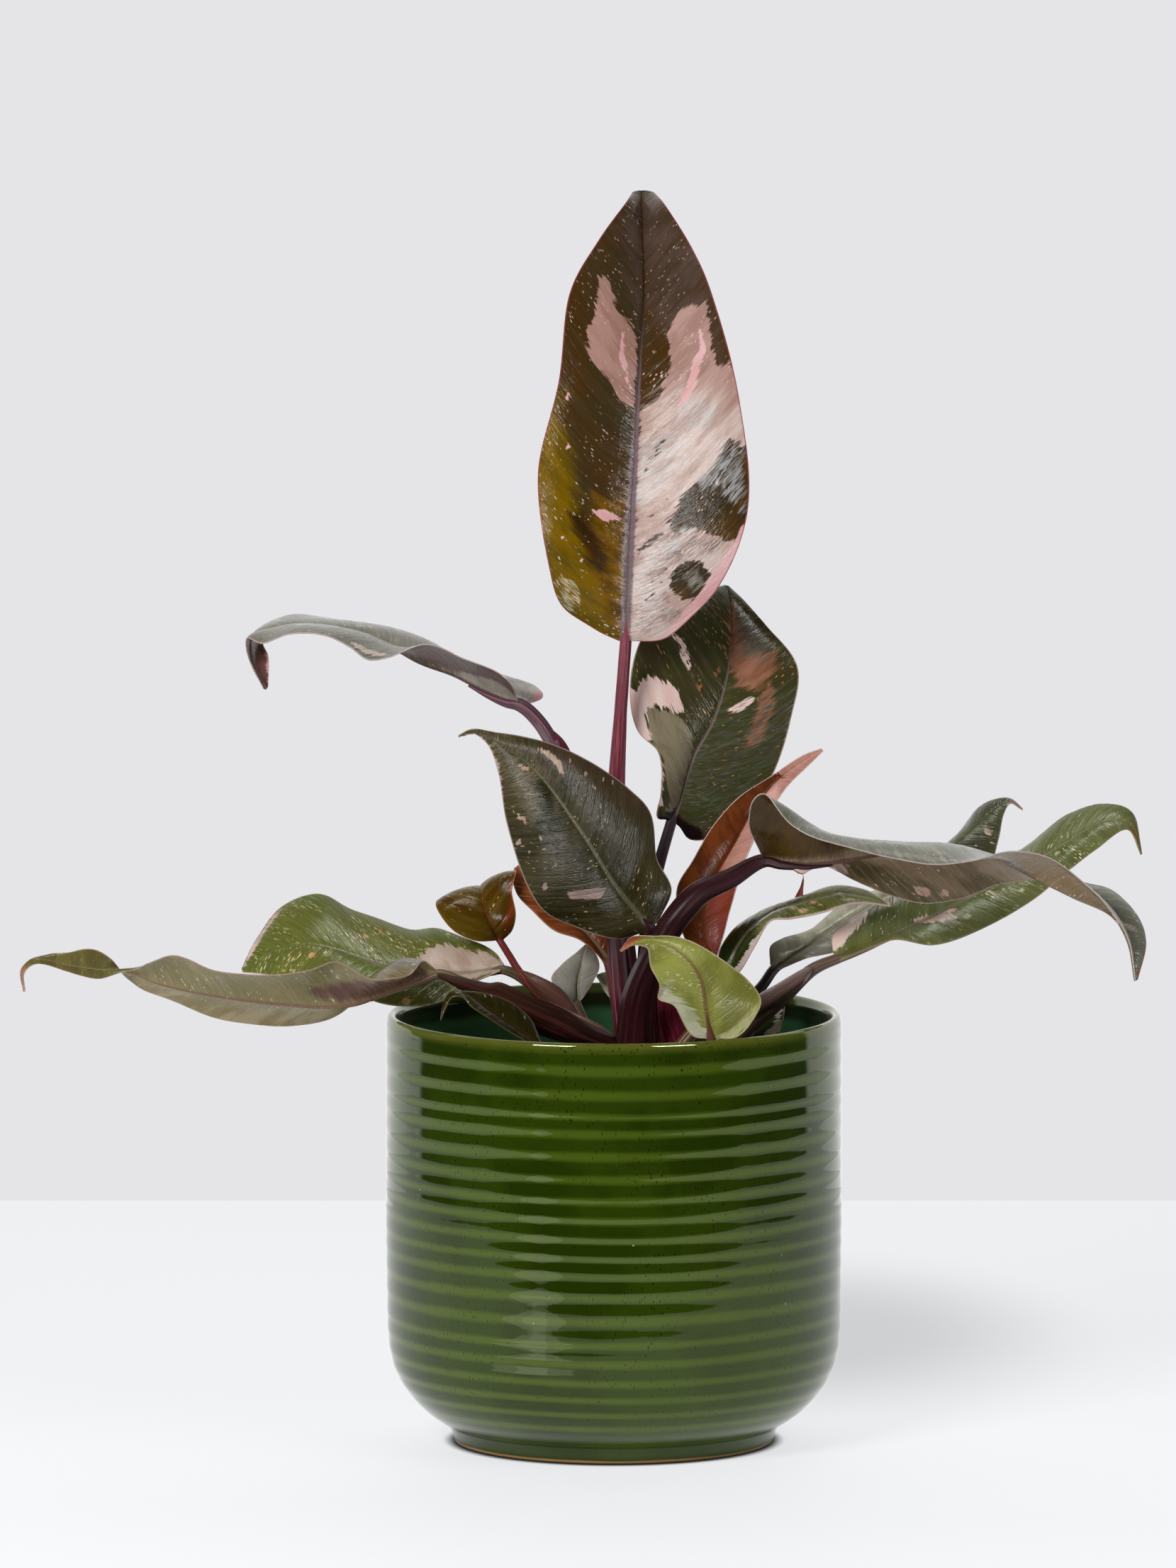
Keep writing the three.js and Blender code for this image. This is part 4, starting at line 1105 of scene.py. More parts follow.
        upper_b=(186, 128, 112), under_b=(142, 74, 36), streak=(226, 190, 176), edge=(240, 224, 214),
        edge_show=0.6, edge_width=0.4, flecks=(), rib_under=(150, 95, 70), rib=(150, 84, 50), pleat=0.04,
    ),
    "leaf_right_high": look(
        "leaf_grey", 6, (132, 132, 116), (142, 117, 87),
        patch(
            (82, 60, 24),
            area((-0.05, 1.1), (0.2, 1.1), (0.42, 1.1), (0.36, 0.6), (0.18, 0.05), (-0.05, 0.05)), face=0,
            soft=3, second=(68, 48, 20),
        ),
        patch((226, 196, 190), area((0.08, -0.78), (0.26, -0.86), (0.26, -1.1), (0.02, -1.1)), soft=0.8),
        patch(
            (204, 168, 152), dash(0.24, -0.75, 3, 0.02), dash(0.4, -0.82, 4, 0.03),
            dash(0.45, -0.86, 3, 0.02), face=0, cover=0.7, jag=3,
        ),
        patch(
            (176, 172, 156), streak(4, (0.34, 0.6), (0.42, 0.5), (0.52, 0.75)),
            streak(3, (0.4, 0.9), (0.6, 0.95)), face=1, soft=1.5, jag=3, cover=0.7,
        ),
        patch((206, 190, 176), streak(2.2, (0.82, 0.7), (0.86, 0.1), (0.9, -0.6)), soft=0.6, cover=0.9),
        patch((160, 98, 54), streak(1.8, (0.93, -1.0), (0.98, -0.9), (1.0, 0.0)), soft=0.5),
        upper_b=(110, 111, 95), under_b=(96, 80, 50), fleck=(228, 205, 182), streak=(150, 146, 132),
        rib_under=(78, 36, 38), edge=(226, 208, 204), edge_show=0.55, edge_width=0.36, rough=0.22,
        vein_show=0.25,
    ),
    "leaf_right_grey": look(
        "leaf_grey", 7, (84, 86, 61), (110, 105, 90),
        patch(
            (222, 196, 174), streak(1.2, (0.83, 0.3), (0.8, 0.9)), dash(0.75, 0.4, 1.2),
            dash(0.7, -0.4, 1.2), cover=0.7,
        ),
        patch((190, 158, 150), area((0.94, -1.1), (1.05, -1.1), (1.05, 1.1), (0.96, 1.1)), soft=1.5),
        patch((182, 180, 158), area((0.5, -1.1), (0.5, 1.1), (-0.05, 1.1), (-0.05, -1.1)), soft=4, jag=3),
        fleck=(225, 208, 176), edge=(190, 165, 155), flecks=((1.2, 2.8, 0.2), (0.8, 1.8, 0.24)),
    ),
    "leaf_right_green": look(
        "leaf_green", 8, (112, 117, 70), (122, 124, 78),
        patch(
            (240, 204, 188), streak(3.2, (0.24, -0.15), (0.3, 0.15), (0.37, 0.45)),
            streak(1.4, (0.47, 0.1), (0.51, 0.5)), streak(1.6, (0.33, 0.05), (0.37, 0.2)), cover=0.8,
            jag=2.5,
        ),
        patch(
            (252, 232, 220),
            area((-0.02, -1.1), (0.16, -1.1), (0.155, -0.9), (0.1, -0.62), (0.03, -0.5), (-0.02, -0.6)),
            jag=2, second=(246, 212, 202),
        ),
        patch(
            (128, 128, 62), area((-0.05, -0.45), (0.06, -0.35), (0.18, -0.05), (0.16, 1.1), (-0.05, 1.1)),
            soft=1.5,
        ),
        patch(
            (206, 200, 156), dash(0.45, -0.4, 1.6), dash(0.5, 0.3, 1.6), dash(0.6, -0.5, 1.4),
            dash(0.38, 0.5, 1.8), dash(0.55, 0.6, 1.3), dash(0.68, 0.2, 1.3), cover=0.7,
        ),
        patch((116, 96, 46), area((0.9, -1.1), (1.05, -1.1), (1.05, 1.1), (0.94, 1.1)), soft=3),
        upper_b=(98, 103, 58), streak=(146, 158, 108), fleck=(236, 222, 178), edge=(170, 140, 120),
        flecks=((1.2, 3.4, 0.3), (0.7, 1.8, 0.34)),
    ),
    "leaf_right_small": look(
        "leaf_green", 9, (124, 127, 76), (105, 108, 65),
        patch((52, 66, 16), area((-0.05, -1.1), (-0.05, 1.1), (0.3, 1.1), (0.36, -1.1)), soft=3, jag=4),
        patch(
            (226, 186, 150), dash(0.5, 0.3, 1.8, 0.04), dash(0.55, 0.6, 1.6, 0.04),
            dash(0.6, 0.25, 1.8, 0.04), dash(0.64, 0.5, 1.4, 0.03), cover=0.6,
        ),
        patch((246, 222, 212), streak(3.6, (0.02, 0.9), (0.15, 0.95), (0.35, 0.97)), jag=2),
        upper_b=(88, 96, 44), fleck=(232, 190, 134), edge=(230, 200, 192), edge_width=1.0, edge_show=0.85,
        flecks=((1.2, 2.6, 0.3), (0.7, 1.6, 0.3)),
    ),
    "leaf_front": look(
        "leaf_green", 10, (110, 115, 15), (162, 165, 82),
        patch(
            (216, 212, 186),
            area(
                (0.5, 0.95), (0.39, 0.68), (0.21, 0.46), (0.04, 0.3), (-0.05, 0.1), (-0.05, 1.1),
                (0.5, 1.1),
            ),
            soft=0.6, jag=4, second=(190, 190, 150),
        ),
        patch(
            (196, 194, 140), streak(3, (0.26, -0.95), (0.14, -0.9), (0.03, -0.7)), soft=1, jag=3, cover=0.7,
        ),
        patch(
            (206, 122, 84), area((0.84, -1.1), (1.05, -1.1), (1.05, 1.1), (0.9, 0.2), (0.86, -0.4)),
            soft=1.2,
        ),
        upper_b=(122, 124, 26), under_b=(128, 129, 58), fleck=(232, 228, 190), streak=(146, 150, 66),
        streak_show=0.1, rib=(160, 118, 84), rib_tip=(150, 140, 90), rib_width=1.2, rib_show=0.6,
        edge=(205, 180, 150), flecks=((1.1, 2.4, 0.3), (0.7, 1.4, 0.3)), pleat=0.05,
    ),
    "leaf_right_dark": look(
        "leaf_deep_green", 11, (48, 62, 30), (80, 80, 55),
        patch((205, 196, 176), streak(3.5, (0.1, 0.8), (0.5, 0.85), (0.9, 0.5)), jag=3),
        fleck=(200, 190, 150), flecks=((1.2, 2.4, 0.25), (0.7, 1.4, 0.25)),
    ),
    "leaf_left_low": look(
        "leaf_grey", 12, (128, 110, 72), (152, 138, 96),
        patch(
            (176, 160, 124), area((0.68, 0.1), (0.5, 0.5), (0.36, 0.4), (0.2, 0.3), (0.1, 1.1), (0.7, 1.1)),
            soft=3, jag=6, second=(146, 130, 90), face=0,
        ),
        patch(
            (116, 84, 70), area((0.32, -0.3), (0.2, -0.8), (0.05, -0.6), (0.02, 0.0), (0.2, -0.02)),
            soft=2.5, jag=4,
        ),
        patch((112, 104, 56), area((0.72, -1.1), (1.05, -1.1), (1.05, 1.1), (0.74, 1.1)), soft=2, jag=4),
        patch((172, 120, 104), area((0.93, -1.1), (1.05, -1.1), (1.05, 1.1), (0.96, 1.1)), soft=2),
        under_b=(138, 128, 88), fleck=(232, 222, 196), streak=(176, 172, 146), rib_under=(132, 96, 80),
        edge=(190, 160, 148), rough=0.24, flecks=((1.3, 3.4, 0.2), (0.8, 2.0, 0.2)), vein_show=0.25,
    ),
    "leaf_left_green": look(
        "leaf_green", 13, (98, 107, 48), (86, 96, 40),
        patch(
            (206, 184, 168),
            area(
                (0.31, 0.3), (0.24, 0.62), (0.1, 0.75), (-0.05, 0.7), (-0.05, -0.8), (0.12, -0.72),
                (0.22, -0.1), (0.3, 0.08),
            ),
            jag=3.5, second=(188, 160, 142),
        ),
        patch(
            (226, 190, 178), streak(2.2, (0.99, 0.35), (0.92, 0.72), (0.86, 0.82), (0.76, 0.97)), soft=0.6,
        ),
        patch((120, 92, 56), streak(2.5, (0.0, -1.0), (0.12, -1.0), (0.2, -1.0)), soft=1),
        patch(
            (222, 176, 120), dash(0.4, -0.5, 1.6), dash(0.5, 0.4, 1.8), dash(0.6, 0.5, 1.5),
            dash(0.45, 0.6, 1.5), dash(0.7, -0.3, 1.5), dash(0.55, -0.6, 1.6), dash(0.35, -0.85, 3, 0.03),
            dash(0.46, -0.85, 3, 0.03), cover=0.7,
        ),
        upper_b=(108, 110, 50), fleck=(232, 214, 166), edge=(205, 185, 165),
        flecks=((1.6, 3.2, 0.5), (1.0, 2.0, 0.5), (0.6, 1.3, 0.5)),
    ),
    "leaf_olive": look(
        "leaf_olive", 14, (98, 76, 10), (112, 92, 34),
        patch((150, 118, 50), area((0.9, -1.1), (0.8, 0.0), (0.95, 1.1), (1.05, 0.0)), soft=3),
        patch((130, 56, 24), streak(2, (0.0, 1.0), (0.3, 1.0), (0.6, 1.0)), soft=1), upper_b=(84, 56, 8),
        fleck=(216, 196, 120), edge=(170, 110, 70), streak=(140, 116, 40), rib=(128, 58, 30),
        rib_tip=(110, 60, 20), rib_width=0.8, rib_show=0.45,
    ),
    "leaf_russet": look(
        "leaf_russet", 15, (158, 82, 34), (140, 62, 28), upper_b=(122, 58, 22), edge=(206, 150, 120),
        flecks=(), streak=(190, 124, 78),
    ),
    "leaf_grey_small": look(
        "leaf_grey", 16, (172, 172, 160), (172, 168, 156), upper_b=(152, 152, 140), fleck=(205, 195, 178),
        streak=(176, 168, 156), streak_show=0.25, pleat=0.04, vein_show=0.05,
    ),
    "leaf_sage_small": look(
        "leaf_grey", 17, (165, 172, 150), (150, 155, 135), fleck=(220, 220, 198), streak=(200, 200, 180),
        pleat=0.04,
    ),
    "leaf_left_dark": look(
        "leaf_olive", 18, (46, 40, 8), (52, 42, 14), edge=(140, 122, 78), edge_show=0.35,
        streak=(64, 56, 20), rib=(66, 54, 26), rib_show=0.3, flecks=((1.3, 2.6, 0.08),),
    ),
}


# Stalks

STALK_SIDES = 28
STALK_STEP = 1.6
RIB_SHARE = 0.16


def stalk_path(leaf):
    """From under the blade's base down the stalk's centre line to the stem."""
    shares = np.array([RIB_SHARE, RIB_SHARE * 0.6, RIB_SHARE * 0.25])
    inner, left, right = (
        at_shares(smooth_curve(leaf[side]), shares) for side in ("rib", "left", "right")
    )
    along = inner[:1] - inner[-1:]
    up = unit(unit(np.cross(right - inner, along)) + unit(np.cross(along, left - inner)))
    start = np.array(leaf["rib"][0], float)
    return np.vstack([inner - up * leaf["radii"][0] * 0.6, start - up[-1] * 0.8, leaf["stalk"]])


def build_stalk(name, leaf, colours, seed):
    """An oval, faintly grooved stalk that runs on under the blade as its midrib."""
    rng = np.random.default_rng(seed)
    path = smooth_curve(stalk_path(leaf))
    total = lengths(path)[-1]
    rows = max(24, int(total / STALK_STEP))
    shares = np.linspace(0, 1, rows + 1)
    middle = at_shares(path, shares)
    rib_run = lengths(smooth_curve(stalk_path(leaf)[:4]))[-1]
    tangent = unit(np.gradient(middle, axis=0))
    sideways = unit(np.cross(tangent, np.array([0.0, 1.0, 0.0])))
    front = unit(np.cross(sideways, tangent))
    run = shares * total
    down = np.clip((run - rib_run) / (total - rib_run), 0, 1)
    radii = np.interp(down, np.linspace(0, 1, len(leaf["radii"])), leaf["radii"])
    lead = np.clip(run / rib_run, 0, 1)
    radii = radii * (0.16 + 0.84 * lead**1.3)
    angle = np.linspace(0, 2 * math.pi, STALK_SIDES, endpoint=False)
    flutes = 0.05 * np.sin(5 * angle + seed) + 0.03 * np.sin(9 * angle + 2 * seed)
    lumps = 0.03 * wobble(rng, run[:, None], angle[None] * 4, 18)
    size = radii[:, None] * (1 + flutes[None] + lumps)
    depth = leaf.get("depth", 0.9)
    points = middle[:, None] + sideways[:, None] * (size * np.cos(angle))[..., None]
    points = points + front[:, None] * (size * np.sin(angle) * depth)[..., None]
    faces = ring_faces(len(middle), STALK_SIDES)
    made = as_object(name + "_stalk", points.reshape(-1, 3), faces, stalk_material(name, colours, seed))
    each = lambda values: np.broadcast_to(values, size.shape).ravel()
    return dress_stalk(made, each(run[:, None]), each(angle[None]), each(shares[:, None]))


def stalk_material(name, colours, seed):
    """Long stripes of the darker and the lighter colour, fading from one end to the other."""
    s = Shader(name + "_stalk_skin")
    run, one, two = s.axes(s.attribute("stem").outputs["Vector"])
    share = s.attribute("share").outputs["Fac"]

    def lengthwise(per_run, round_it, detail):
        place = s.vector(s.times(run, per_run), s.times(one, round_it), s.plus(s.times(two, round_it), seed))
        return s.noise(place, detail=detail)

    stripes = lengthwise(0.02, 3.2, detail=4)
    lines = lengthwise(0.05, 9.0, detail=3)
    colour = s.mix(share, colours["top"], colours["foot"])
    stripe = s.mix(share, colours["stripe"], colours.get("foot_stripe", colours["stripe"]))
    colour = s.mix(s.ramp(stripes, 0.52, 0.66), colour, stripe)
    colour = s.mix(s.ramp(lines, 0.56, 0.7, 0.0, 0.4), colour, tint(colours["stripe"], 1.15))
    colour = s.mix(s.ramp(lines, 0.44, 0.3, 0.0, 0.6), colour, tint(colours["top"], 0.45))
    grain = s.noise(s.place(), 900.0, detail=3)
    normal = s.bump(s.plus(lines, s.times(grain, 0.3)), 0.12 * MM)
    s.set(Base_Color=colour, Roughness=s.ramp(stripes, 0.3, 0.7, 0.24, 0.4), Normal=normal)
    s.set(IOR=1.25)
    return s.material


DARK_MAROON = dict(top=(48, 23, 27), foot=(56, 24, 27), stripe=(76, 34, 40))
ROSY = dict(top=(136, 52, 68), foot=(44, 18, 22), stripe=(190, 100, 120), foot_stripe=(92, 50, 56))
DEEP_PINK = dict(top=(58, 29, 33), foot=(64, 25, 34), stripe=(112, 60, 70))
PURPLE = dict(top=(92, 66, 76), foot=(80, 40, 50), stripe=(170, 112, 124))
SLATE = dict(top=(60, 54, 60), foot=(72, 40, 46), stripe=(96, 82, 90))
RED = dict(top=(112, 38, 38), foot=(110, 36, 40), stripe=(170, 86, 78))
ROSE = dict(top=(112, 72, 62), foot=(92, 46, 46), stripe=(150, 108, 92))
MAUVE = dict(top=(108, 88, 76), foot=(94, 70, 64), stripe=(152, 128, 116))
OLIVE_ROSE = dict(top=(112, 98, 70), foot=(92, 52, 50), stripe=(168, 140, 116))
STALKS = {
    "leaf_tall": ROSY,
    "leaf_left_high": PURPLE,
    "leaf_centre": DEEP_PINK,
    "leaf_back": SLATE,
    "leaf_rolled": DARK_MAROON,
    "leaf_right_high": DARK_MAROON,
    "leaf_right_grey": SLATE,
    "leaf_right_green": MAUVE,
    "leaf_right_small": OLIVE_ROSE,
    "leaf_front": ROSE,
    "leaf_right_dark": DARK_MAROON,
    "leaf_left_low": OLIVE_ROSE,
    "leaf_left_green": OLIVE_ROSE,
    "leaf_olive": RED,
    "leaf_russet": ROSE,
    "leaf_grey_small": OLIVE_ROSE,
    "leaf_sage_small": OLIVE_ROSE,
    "leaf_left_dark": ROSE,
}


# Winged sheaths and small growths on the stalks: the upper and the lower edge, and how far the
# front bulges, in millimetres
SHEATHS = {
    "leaf_left_high": dict(
        upper=[(-23, 12, 272.7), (-23.6, 12, 268.9), (-23.3, 12, 264.8), (-21.7, 12, 260.4)],
        lower=[(-22.5, 12, 272.5), (-19.8, 12, 270), (-17.1, 12, 265.9), (-15.7, 12, 261.5)], bulge=1.6,
        colours=dict(top=(92, 40, 52), foot=(80, 34, 46), stripe=(140, 76, 88)),
    ),
    "leaf_left_low": dict(
        upper=[
            (-67.6, -29, 185), (-57.1, -27, 182.8), (-47.6, -24, 180.4), (-43.6, -22, 180.4),
            (-34.1, -21, 176.2), (-19, -17, 169.4), (-6.2, -13, 161.1), (4.4, -9, 156.2),
        ],
        lower=[
            (-67.1, -29, 183.3), (-57.9, -27, 177.6), (-52.5, -24, 173.6), (-44.9, -22, 168.1),
            (-36.8, -21, 163.4), (-28.7, -17, 159.2), (-17.9, -13, 155.4), (-4.3, -9, 151.5),
        ],
        bulge=5.0, colours=dict(top=(64, 38, 22), foot=(36, 14, 12), stripe=(80, 42, 42)),
    ),
    "leaf_olive": dict(
        upper=[
            (-36.1, 0, 182.3), (-30.4, -4, 181), (-21.4, -6, 176.6), (-16.3, -6, 171.4), (-11.4, -6, 164),
            (-1.1, -5, 157.3), (4.9, -4, 155.2),
        ],
        lower=[
            (-35.5, 0, 181), (-30.4, -4, 173.9), (-23.9, -6, 168.9), (-15.2, -6, 165.1), (-3.8, -6, 158.2),
            (1.7, -5, 154.8), (6.5, -4, 153),
        ],
        bulge=3.0, colours=dict(top=(98, 66, 56), foot=(88, 52, 50), stripe=(144, 110, 86)),
    ),
    "leaf_right_green": dict(
        upper=[
            (76.6, -7, 184.1), (75.1, -7, 184.4), (72.1, -7, 183.4), (67.5, -7, 180.8), (62.1, -6, 177.4),
            (55.9, -5, 173.7), (51.3, -4, 169.5),
        ],
        lower=[
            (76.6, -7, 183.7), (75.4, -7, 181.1), (72.7, -7, 177.6), (68.4, -6, 173.3), (63, -6, 169.2),
            (57, -5, 165.5), (51.6, -4, 162.9),
        ],
        bulge=5.5, colours=dict(top=(112, 88, 80), foot=(100, 76, 70), stripe=(156, 132, 122)),
    ),
    "leaf_front": dict(
        upper=[(15.2, 2, 177.1), (15.2, 2, 164.8), (15.8, 2, 152.4)],
        lower=[(22.8, 2, 177.1), (25.6, 2, 164.8), (31.8, 2, 152.4)], bulge=3.5,
        colours=dict(top=(150, 42, 66), foot=(122, 32, 54), stripe=(204, 100, 124)),
    ),
    "leaf_right_high": dict(
        upper=[
            (67.9, -43, 227.4), (70.1, -43, 227.7), (73.9, -43, 228), (77.7, -43, 228.5),
            (80.9, -43, 228.8), (83.6, -43, 229.1),
        ],
        lower=[
            (67.9, -43, 226.8), (69.6, -43, 225.7), (71.7, -43, 224.9), (75.2, -43, 226.4),
            (77.7, -43, 227.7), (80.6, -43, 228), (82.8, -43, 226.9), (84.9, -43, 225.7),
        ],
        bulge=0.8, colours=dict(top=(232, 190, 182), foot=(236, 196, 188), stripe=(246, 214, 206)),
    ),
    "leaf_right_small": dict(
        upper=[
            (68.1, -3, 207.1), (69.4, -3, 210.9), (71.1, -3, 214.2), (71.9, -3, 216.7), (72.3, -3, 218.3),
            (72.2, -3, 219.8),
        ],
        lower=[
            (72.7, -3, 207.1), (72.4, -3, 211.5), (72.5, -3, 214.2), (72.7, -3, 216.4), (72.6, -3, 218.1),
            (72.4, -3, 219.8),
        ],
        bulge=1.2, colours=dict(top=(150, 76, 62), foot=(112, 50, 46), stripe=(196, 116, 98)),
    ),
}
SHEATH_ROWS, SHEATH_SIDES = 70, 16


def build_sheath(name, upper, lower, bulge, colours, seed):
    """A closed, lens-shaped wing between two edges, smooth in front and flatter behind."""
    rng = np.random.default_rng(seed)
    shares = np.linspace(0, 1, SHEATH_ROWS)
    top, bottom = (at_shares(smooth_curve(line), shares) for line in (upper, lower))
    across = np.r_[np.linspace(0, 1, SHEATH_SIDES + 1), np.linspace(1, 0, SHEATH_SIDES + 1)[1:-1]]
    front = np.r_[np.full(SHEATH_SIDES + 1, -1.0), np.full(SHEATH_SIDES - 1, 0.35)]
    arch = np.sin(math.pi * across) ** 0.75 * front
    ripple = 1 + 0.1 * wobble(rng, shares[:, None] * 80, across[None] * 16, 22)
    points = top[:, None] + (bottom - top)[:, None] * across[None, :, None]
    width = np.linalg.norm(bottom - top, axis=1)
    size = bulge * np.clip(width / width.max() * 1.6, 0.15, 1)
    points[..., 1] += size[:, None] * arch[None] * ripple
    points[..., 1] += np.where(front > 0, 0.15, -0.15)[None]
    columns = len(across)
    faces = ring_faces(SHEATH_ROWS, columns)
    skin = stalk_material(name + "_wing", colours, seed)
    made = as_object(name + "_sheath", points.reshape(-1, 3), faces, skin)
    turn = np.tile(across * 2.4 + (front > 0) * 3, SHEATH_ROWS)
    run = np.repeat(shares * lengths(top)[-1], columns)
    return dress_stalk(made, run, turn, np.repeat(shares, columns))


# Pot

POT_RADIUS = 87.3
WALL = 4.4
INNER_RADIUS = POT_RADIUS - WALL
RIM_HEIGHT = 165.5
RIM_CREST_RADIUS = 85.2
RIM_OUTER = [(2, 2.6), (1.3, 0.6), (0, 0), (-1.4, 0.7), (-2.3, 3)]
FOOT = [(0, 0), (59, 0), (61.0, 0.5), (61.4, 1.4), (62.4, 4.5), (63.6, 6.5)]
SHOULDER = [
    (63.6, 6.5), (70.9, 11.4), (74.7, 14.7), (80.2, 21.3), (83.7, 27.9), (85.6, 34.5), (86.5, 42), (86.8, 50),
]
WALL_HEIGHTS, WALL_RADII = [50, 67.5, 85, 100], [86.8, 87.05, 87.25, 87.35]
RIDGES = [
    17, 23, 29.5, 36.5, 44.4, 51.4, 60.8, 69.6, 77.5, 84.2, 91.8, 99.5, 106.9, 115.2, 123.9, 132.4, 138.7,
    147.7, 157.4, 166,
]
VALLEY_SHARE = 0.6
BASIN = [(82.9, 50), (78.9, 30), (68.9, 15), (58.9, 9), (0, 9)]
RIDGE_RISE, VALLEY_DROP = 0.078, 0.082
POT_SEGMENTS = 288
WALL_STEP = 0.62


def pot_outline():
    """Radius and height from the foot's middle round the outside and down the inside."""
    shoulder = smooth_curve([(r, 0, z) for r, z in SHOULDER], 12)[:, [0, 2]]
    wall_foot = [tuple(place) for place in shoulder if place[1] > 7]
    top = RIM_HEIGHT - 3.2
    heights = np.arange(51, top, WALL_STEP)
    wall = [(np.interp(height, WALL_HEIGHTS, WALL_RADII), height) for height in heights]
    lip = smooth_curve([(RIM_CREST_RADIUS + out, 0, RIM_HEIGHT - drop) for out, drop in RIM_OUTER], 6)
    inner = smooth_curve([(INNER_RADIUS, 0, RIM_HEIGHT - 8)] + [(r, 0, z) for r, z in BASIN], 10)
    body = [*wall_foot, *wall]
    dense = at_shares(np.array([(r, 0, z) for r, z in body]), np.linspace(0, 1, 270))
    return (
        [tuple(place) for place in smooth_curve([(r, 0, z) for r, z in FOOT[1:]], 4)[:, [0, 2]]],
        dense[:, [0, 2]],
        lip[:, [0, 2]],
        inner[:, [0, 2]],
    )


def build_pot():
    foot, body, lip, inner = pot_outline()
    rng = np.random.default_rng(40)
    outline = np.vstack([[(0.5, 0)], foot, body, lip, inner[:-1], [(0.5, 9)]])
    radius, height = outline[:, 0], outline[:, 1]
    on_wall = np.zeros(len(outline))
    start = 1 + len(foot)
    on_wall[start:start + len(body)] = 1
    turn = np.linspace(0, 2 * math.pi, POT_SEGMENTS, endpoint=False)
    ridges = np.array([10.5, *RIDGES])
    sway = sum(
        rng.uniform(0.15, 0.4) * np.sin(k * turn + rng.uniform(0, 6.28)) for k in (1, 2, 3, 5)
    )
    level = height[:, None] + 0.55 * sway[None] + 0.3 * np.sin(height[:, None] / 9 + 2 * turn[None])
    which = np.clip(np.searchsorted(ridges, level) - 1, 0, len(ridges) - 2)
    share = np.clip((level - ridges[which]) / (ridges[which + 1] - ridges[which]), 0, 1)
    low, high = share / VALLEY_SHARE, (share - VALLEY_SHARE) / (1 - VALLEY_SHARE)
    wave = np.cos(math.pi * np.where(share < VALLEY_SHARE, low, 1 + high))
    thin_glaze = np.cos(2 * math.pi * (share + 0.2)) * 0.5 + 0.5
    calm = np.clip((height - 12) / 12, 0, 1) * np.clip((163 - height) / 6, 0, 1)
    strength = 1 + 0.28 * wobble(rng, 40 * np.cos(turn)[None] + 9.0 * which, 40 * np.sin(turn)[None], 60)
    rise = np.where(wave > 0, RIDGE_RISE, VALLEY_DROP) * wave * strength * (calm * on_wall)[:, None]
    size = radius[:, None] + rise
    level = np.broadcast_to(height[:, None], size.shape)
    points = np.stack([size * np.cos(turn), size * np.sin(turn), level], axis=2)
    rows, columns = size.shape
    faces = ring_faces(rows, columns)
    made = as_object("pot_glazed", points.reshape(-1, 3), faces, glaze_material(), math.radians(40))
    within = np.arange(rows) > start + len(body) + len(lip) * 0.6
    paint_values(made, "ridge", (thin_glaze * on_wall[:, None]).ravel())
    paint_values(made, "inside", np.repeat(within.astype(float), columns))
    settle(made, "glaze", "pot")
    return made


def glaze_material():
    """Green gloss glaze, thin and olive on the ridges, with iron specks, painted pin-prick glints and,
    inside, a painted dark reflection under the rim.
    """
    s = Shader("glaze_green")
    place = s.place()
    x, y, z = s.axes(place)
    ridge = s.attribute("ridge").outputs["Fac"]
    inside_wall = s.attribute("inside").outputs["Fac"]
    drift = s.noise(place, 28.0, detail=3)
    crest = s.ramp(s.plus(ridge, s.swing(drift, 0.6)), 0.35, 1.1)
    pool = s.mix(s.ramp(drift, 0.4, 0.6), (34, 50, 1), (43, 61, 4))
    colour = s.mix(crest, pool, (74, 92, 22))
    colour = s.mix(s.ramp(s.noise(place, 9.0, detail=2), 0.5, 0.75, 0.0, 0.35), colour, (60, 80, 15))
    high = s.ramp(z, 0.1605, 0.1655)
    colour = s.mix(s.times(high, 0.6), colour, (116, 120, 44))
    runs = s.vector(s.times(x, 900), s.times(y, 900), s.times(z, 330))
    cluster = s.ramp(s.noise(place, 26.0, detail=3), 0.42, 0.6, 0.2, 1.0)
    specks = s.times(s.dots(s.cells(runs), 0, 0.45, 0.12, 0.3), cluster)
    colour = s.mix(s.times(specks, 0.9), colour, (30, 18, 4))
    iron = s.dots(s.cells(place, 420.0), 1, 0.93, 0.12, 0.22)
    colour = s.mix(s.times(iron, 0.85), colour, (26, 16, 6))
    # Pale pin-prick dots are painted glints
    pin_glints = s.dots(s.cells(place, 260.0), 2, 0.985, 0.06, 0.13)
    colour = s.mix(s.times(pin_glints, 0.7), colour, (170, 180, 150))
    bare = s.ramp(s.plus(z, s.swing(drift, 0.0012)), 0.0011, 0.0018, 1.0, 0.0)
    colour = s.mix(bare, colour, (165, 125, 75))
    # Inside wall: the darker band just under the rim is a painted dark reflection above the paler glaze lower
    # down
    well = s.mix(s.ramp(s.plus(z, s.times(drift, 0.004)), 0.1555, 0.1595), (70, 122, 82), (36, 48, 28))
    well = s.mix(s.ramp(z, 0.161, 0.1635), well, (84, 100, 40))
    colour = s.mix(inside_wall, colour, well)
    rough = s.ramp(bare, 0.0, 1.0, 0.045, 0.6)
    ripple = s.noise(place, 60.0, detail=2)
    s.set(Base_Color=colour, Roughness=rough, Normal=s.bump(ripple, 0.08 * MM))
    s.set(IOR=1.5, Specular_Tint=(0.92, 1.0, 0.68, 1.0), Sheen_Weight=0.15, Sheen_Roughness=0.3)
    return s.material


# Soil

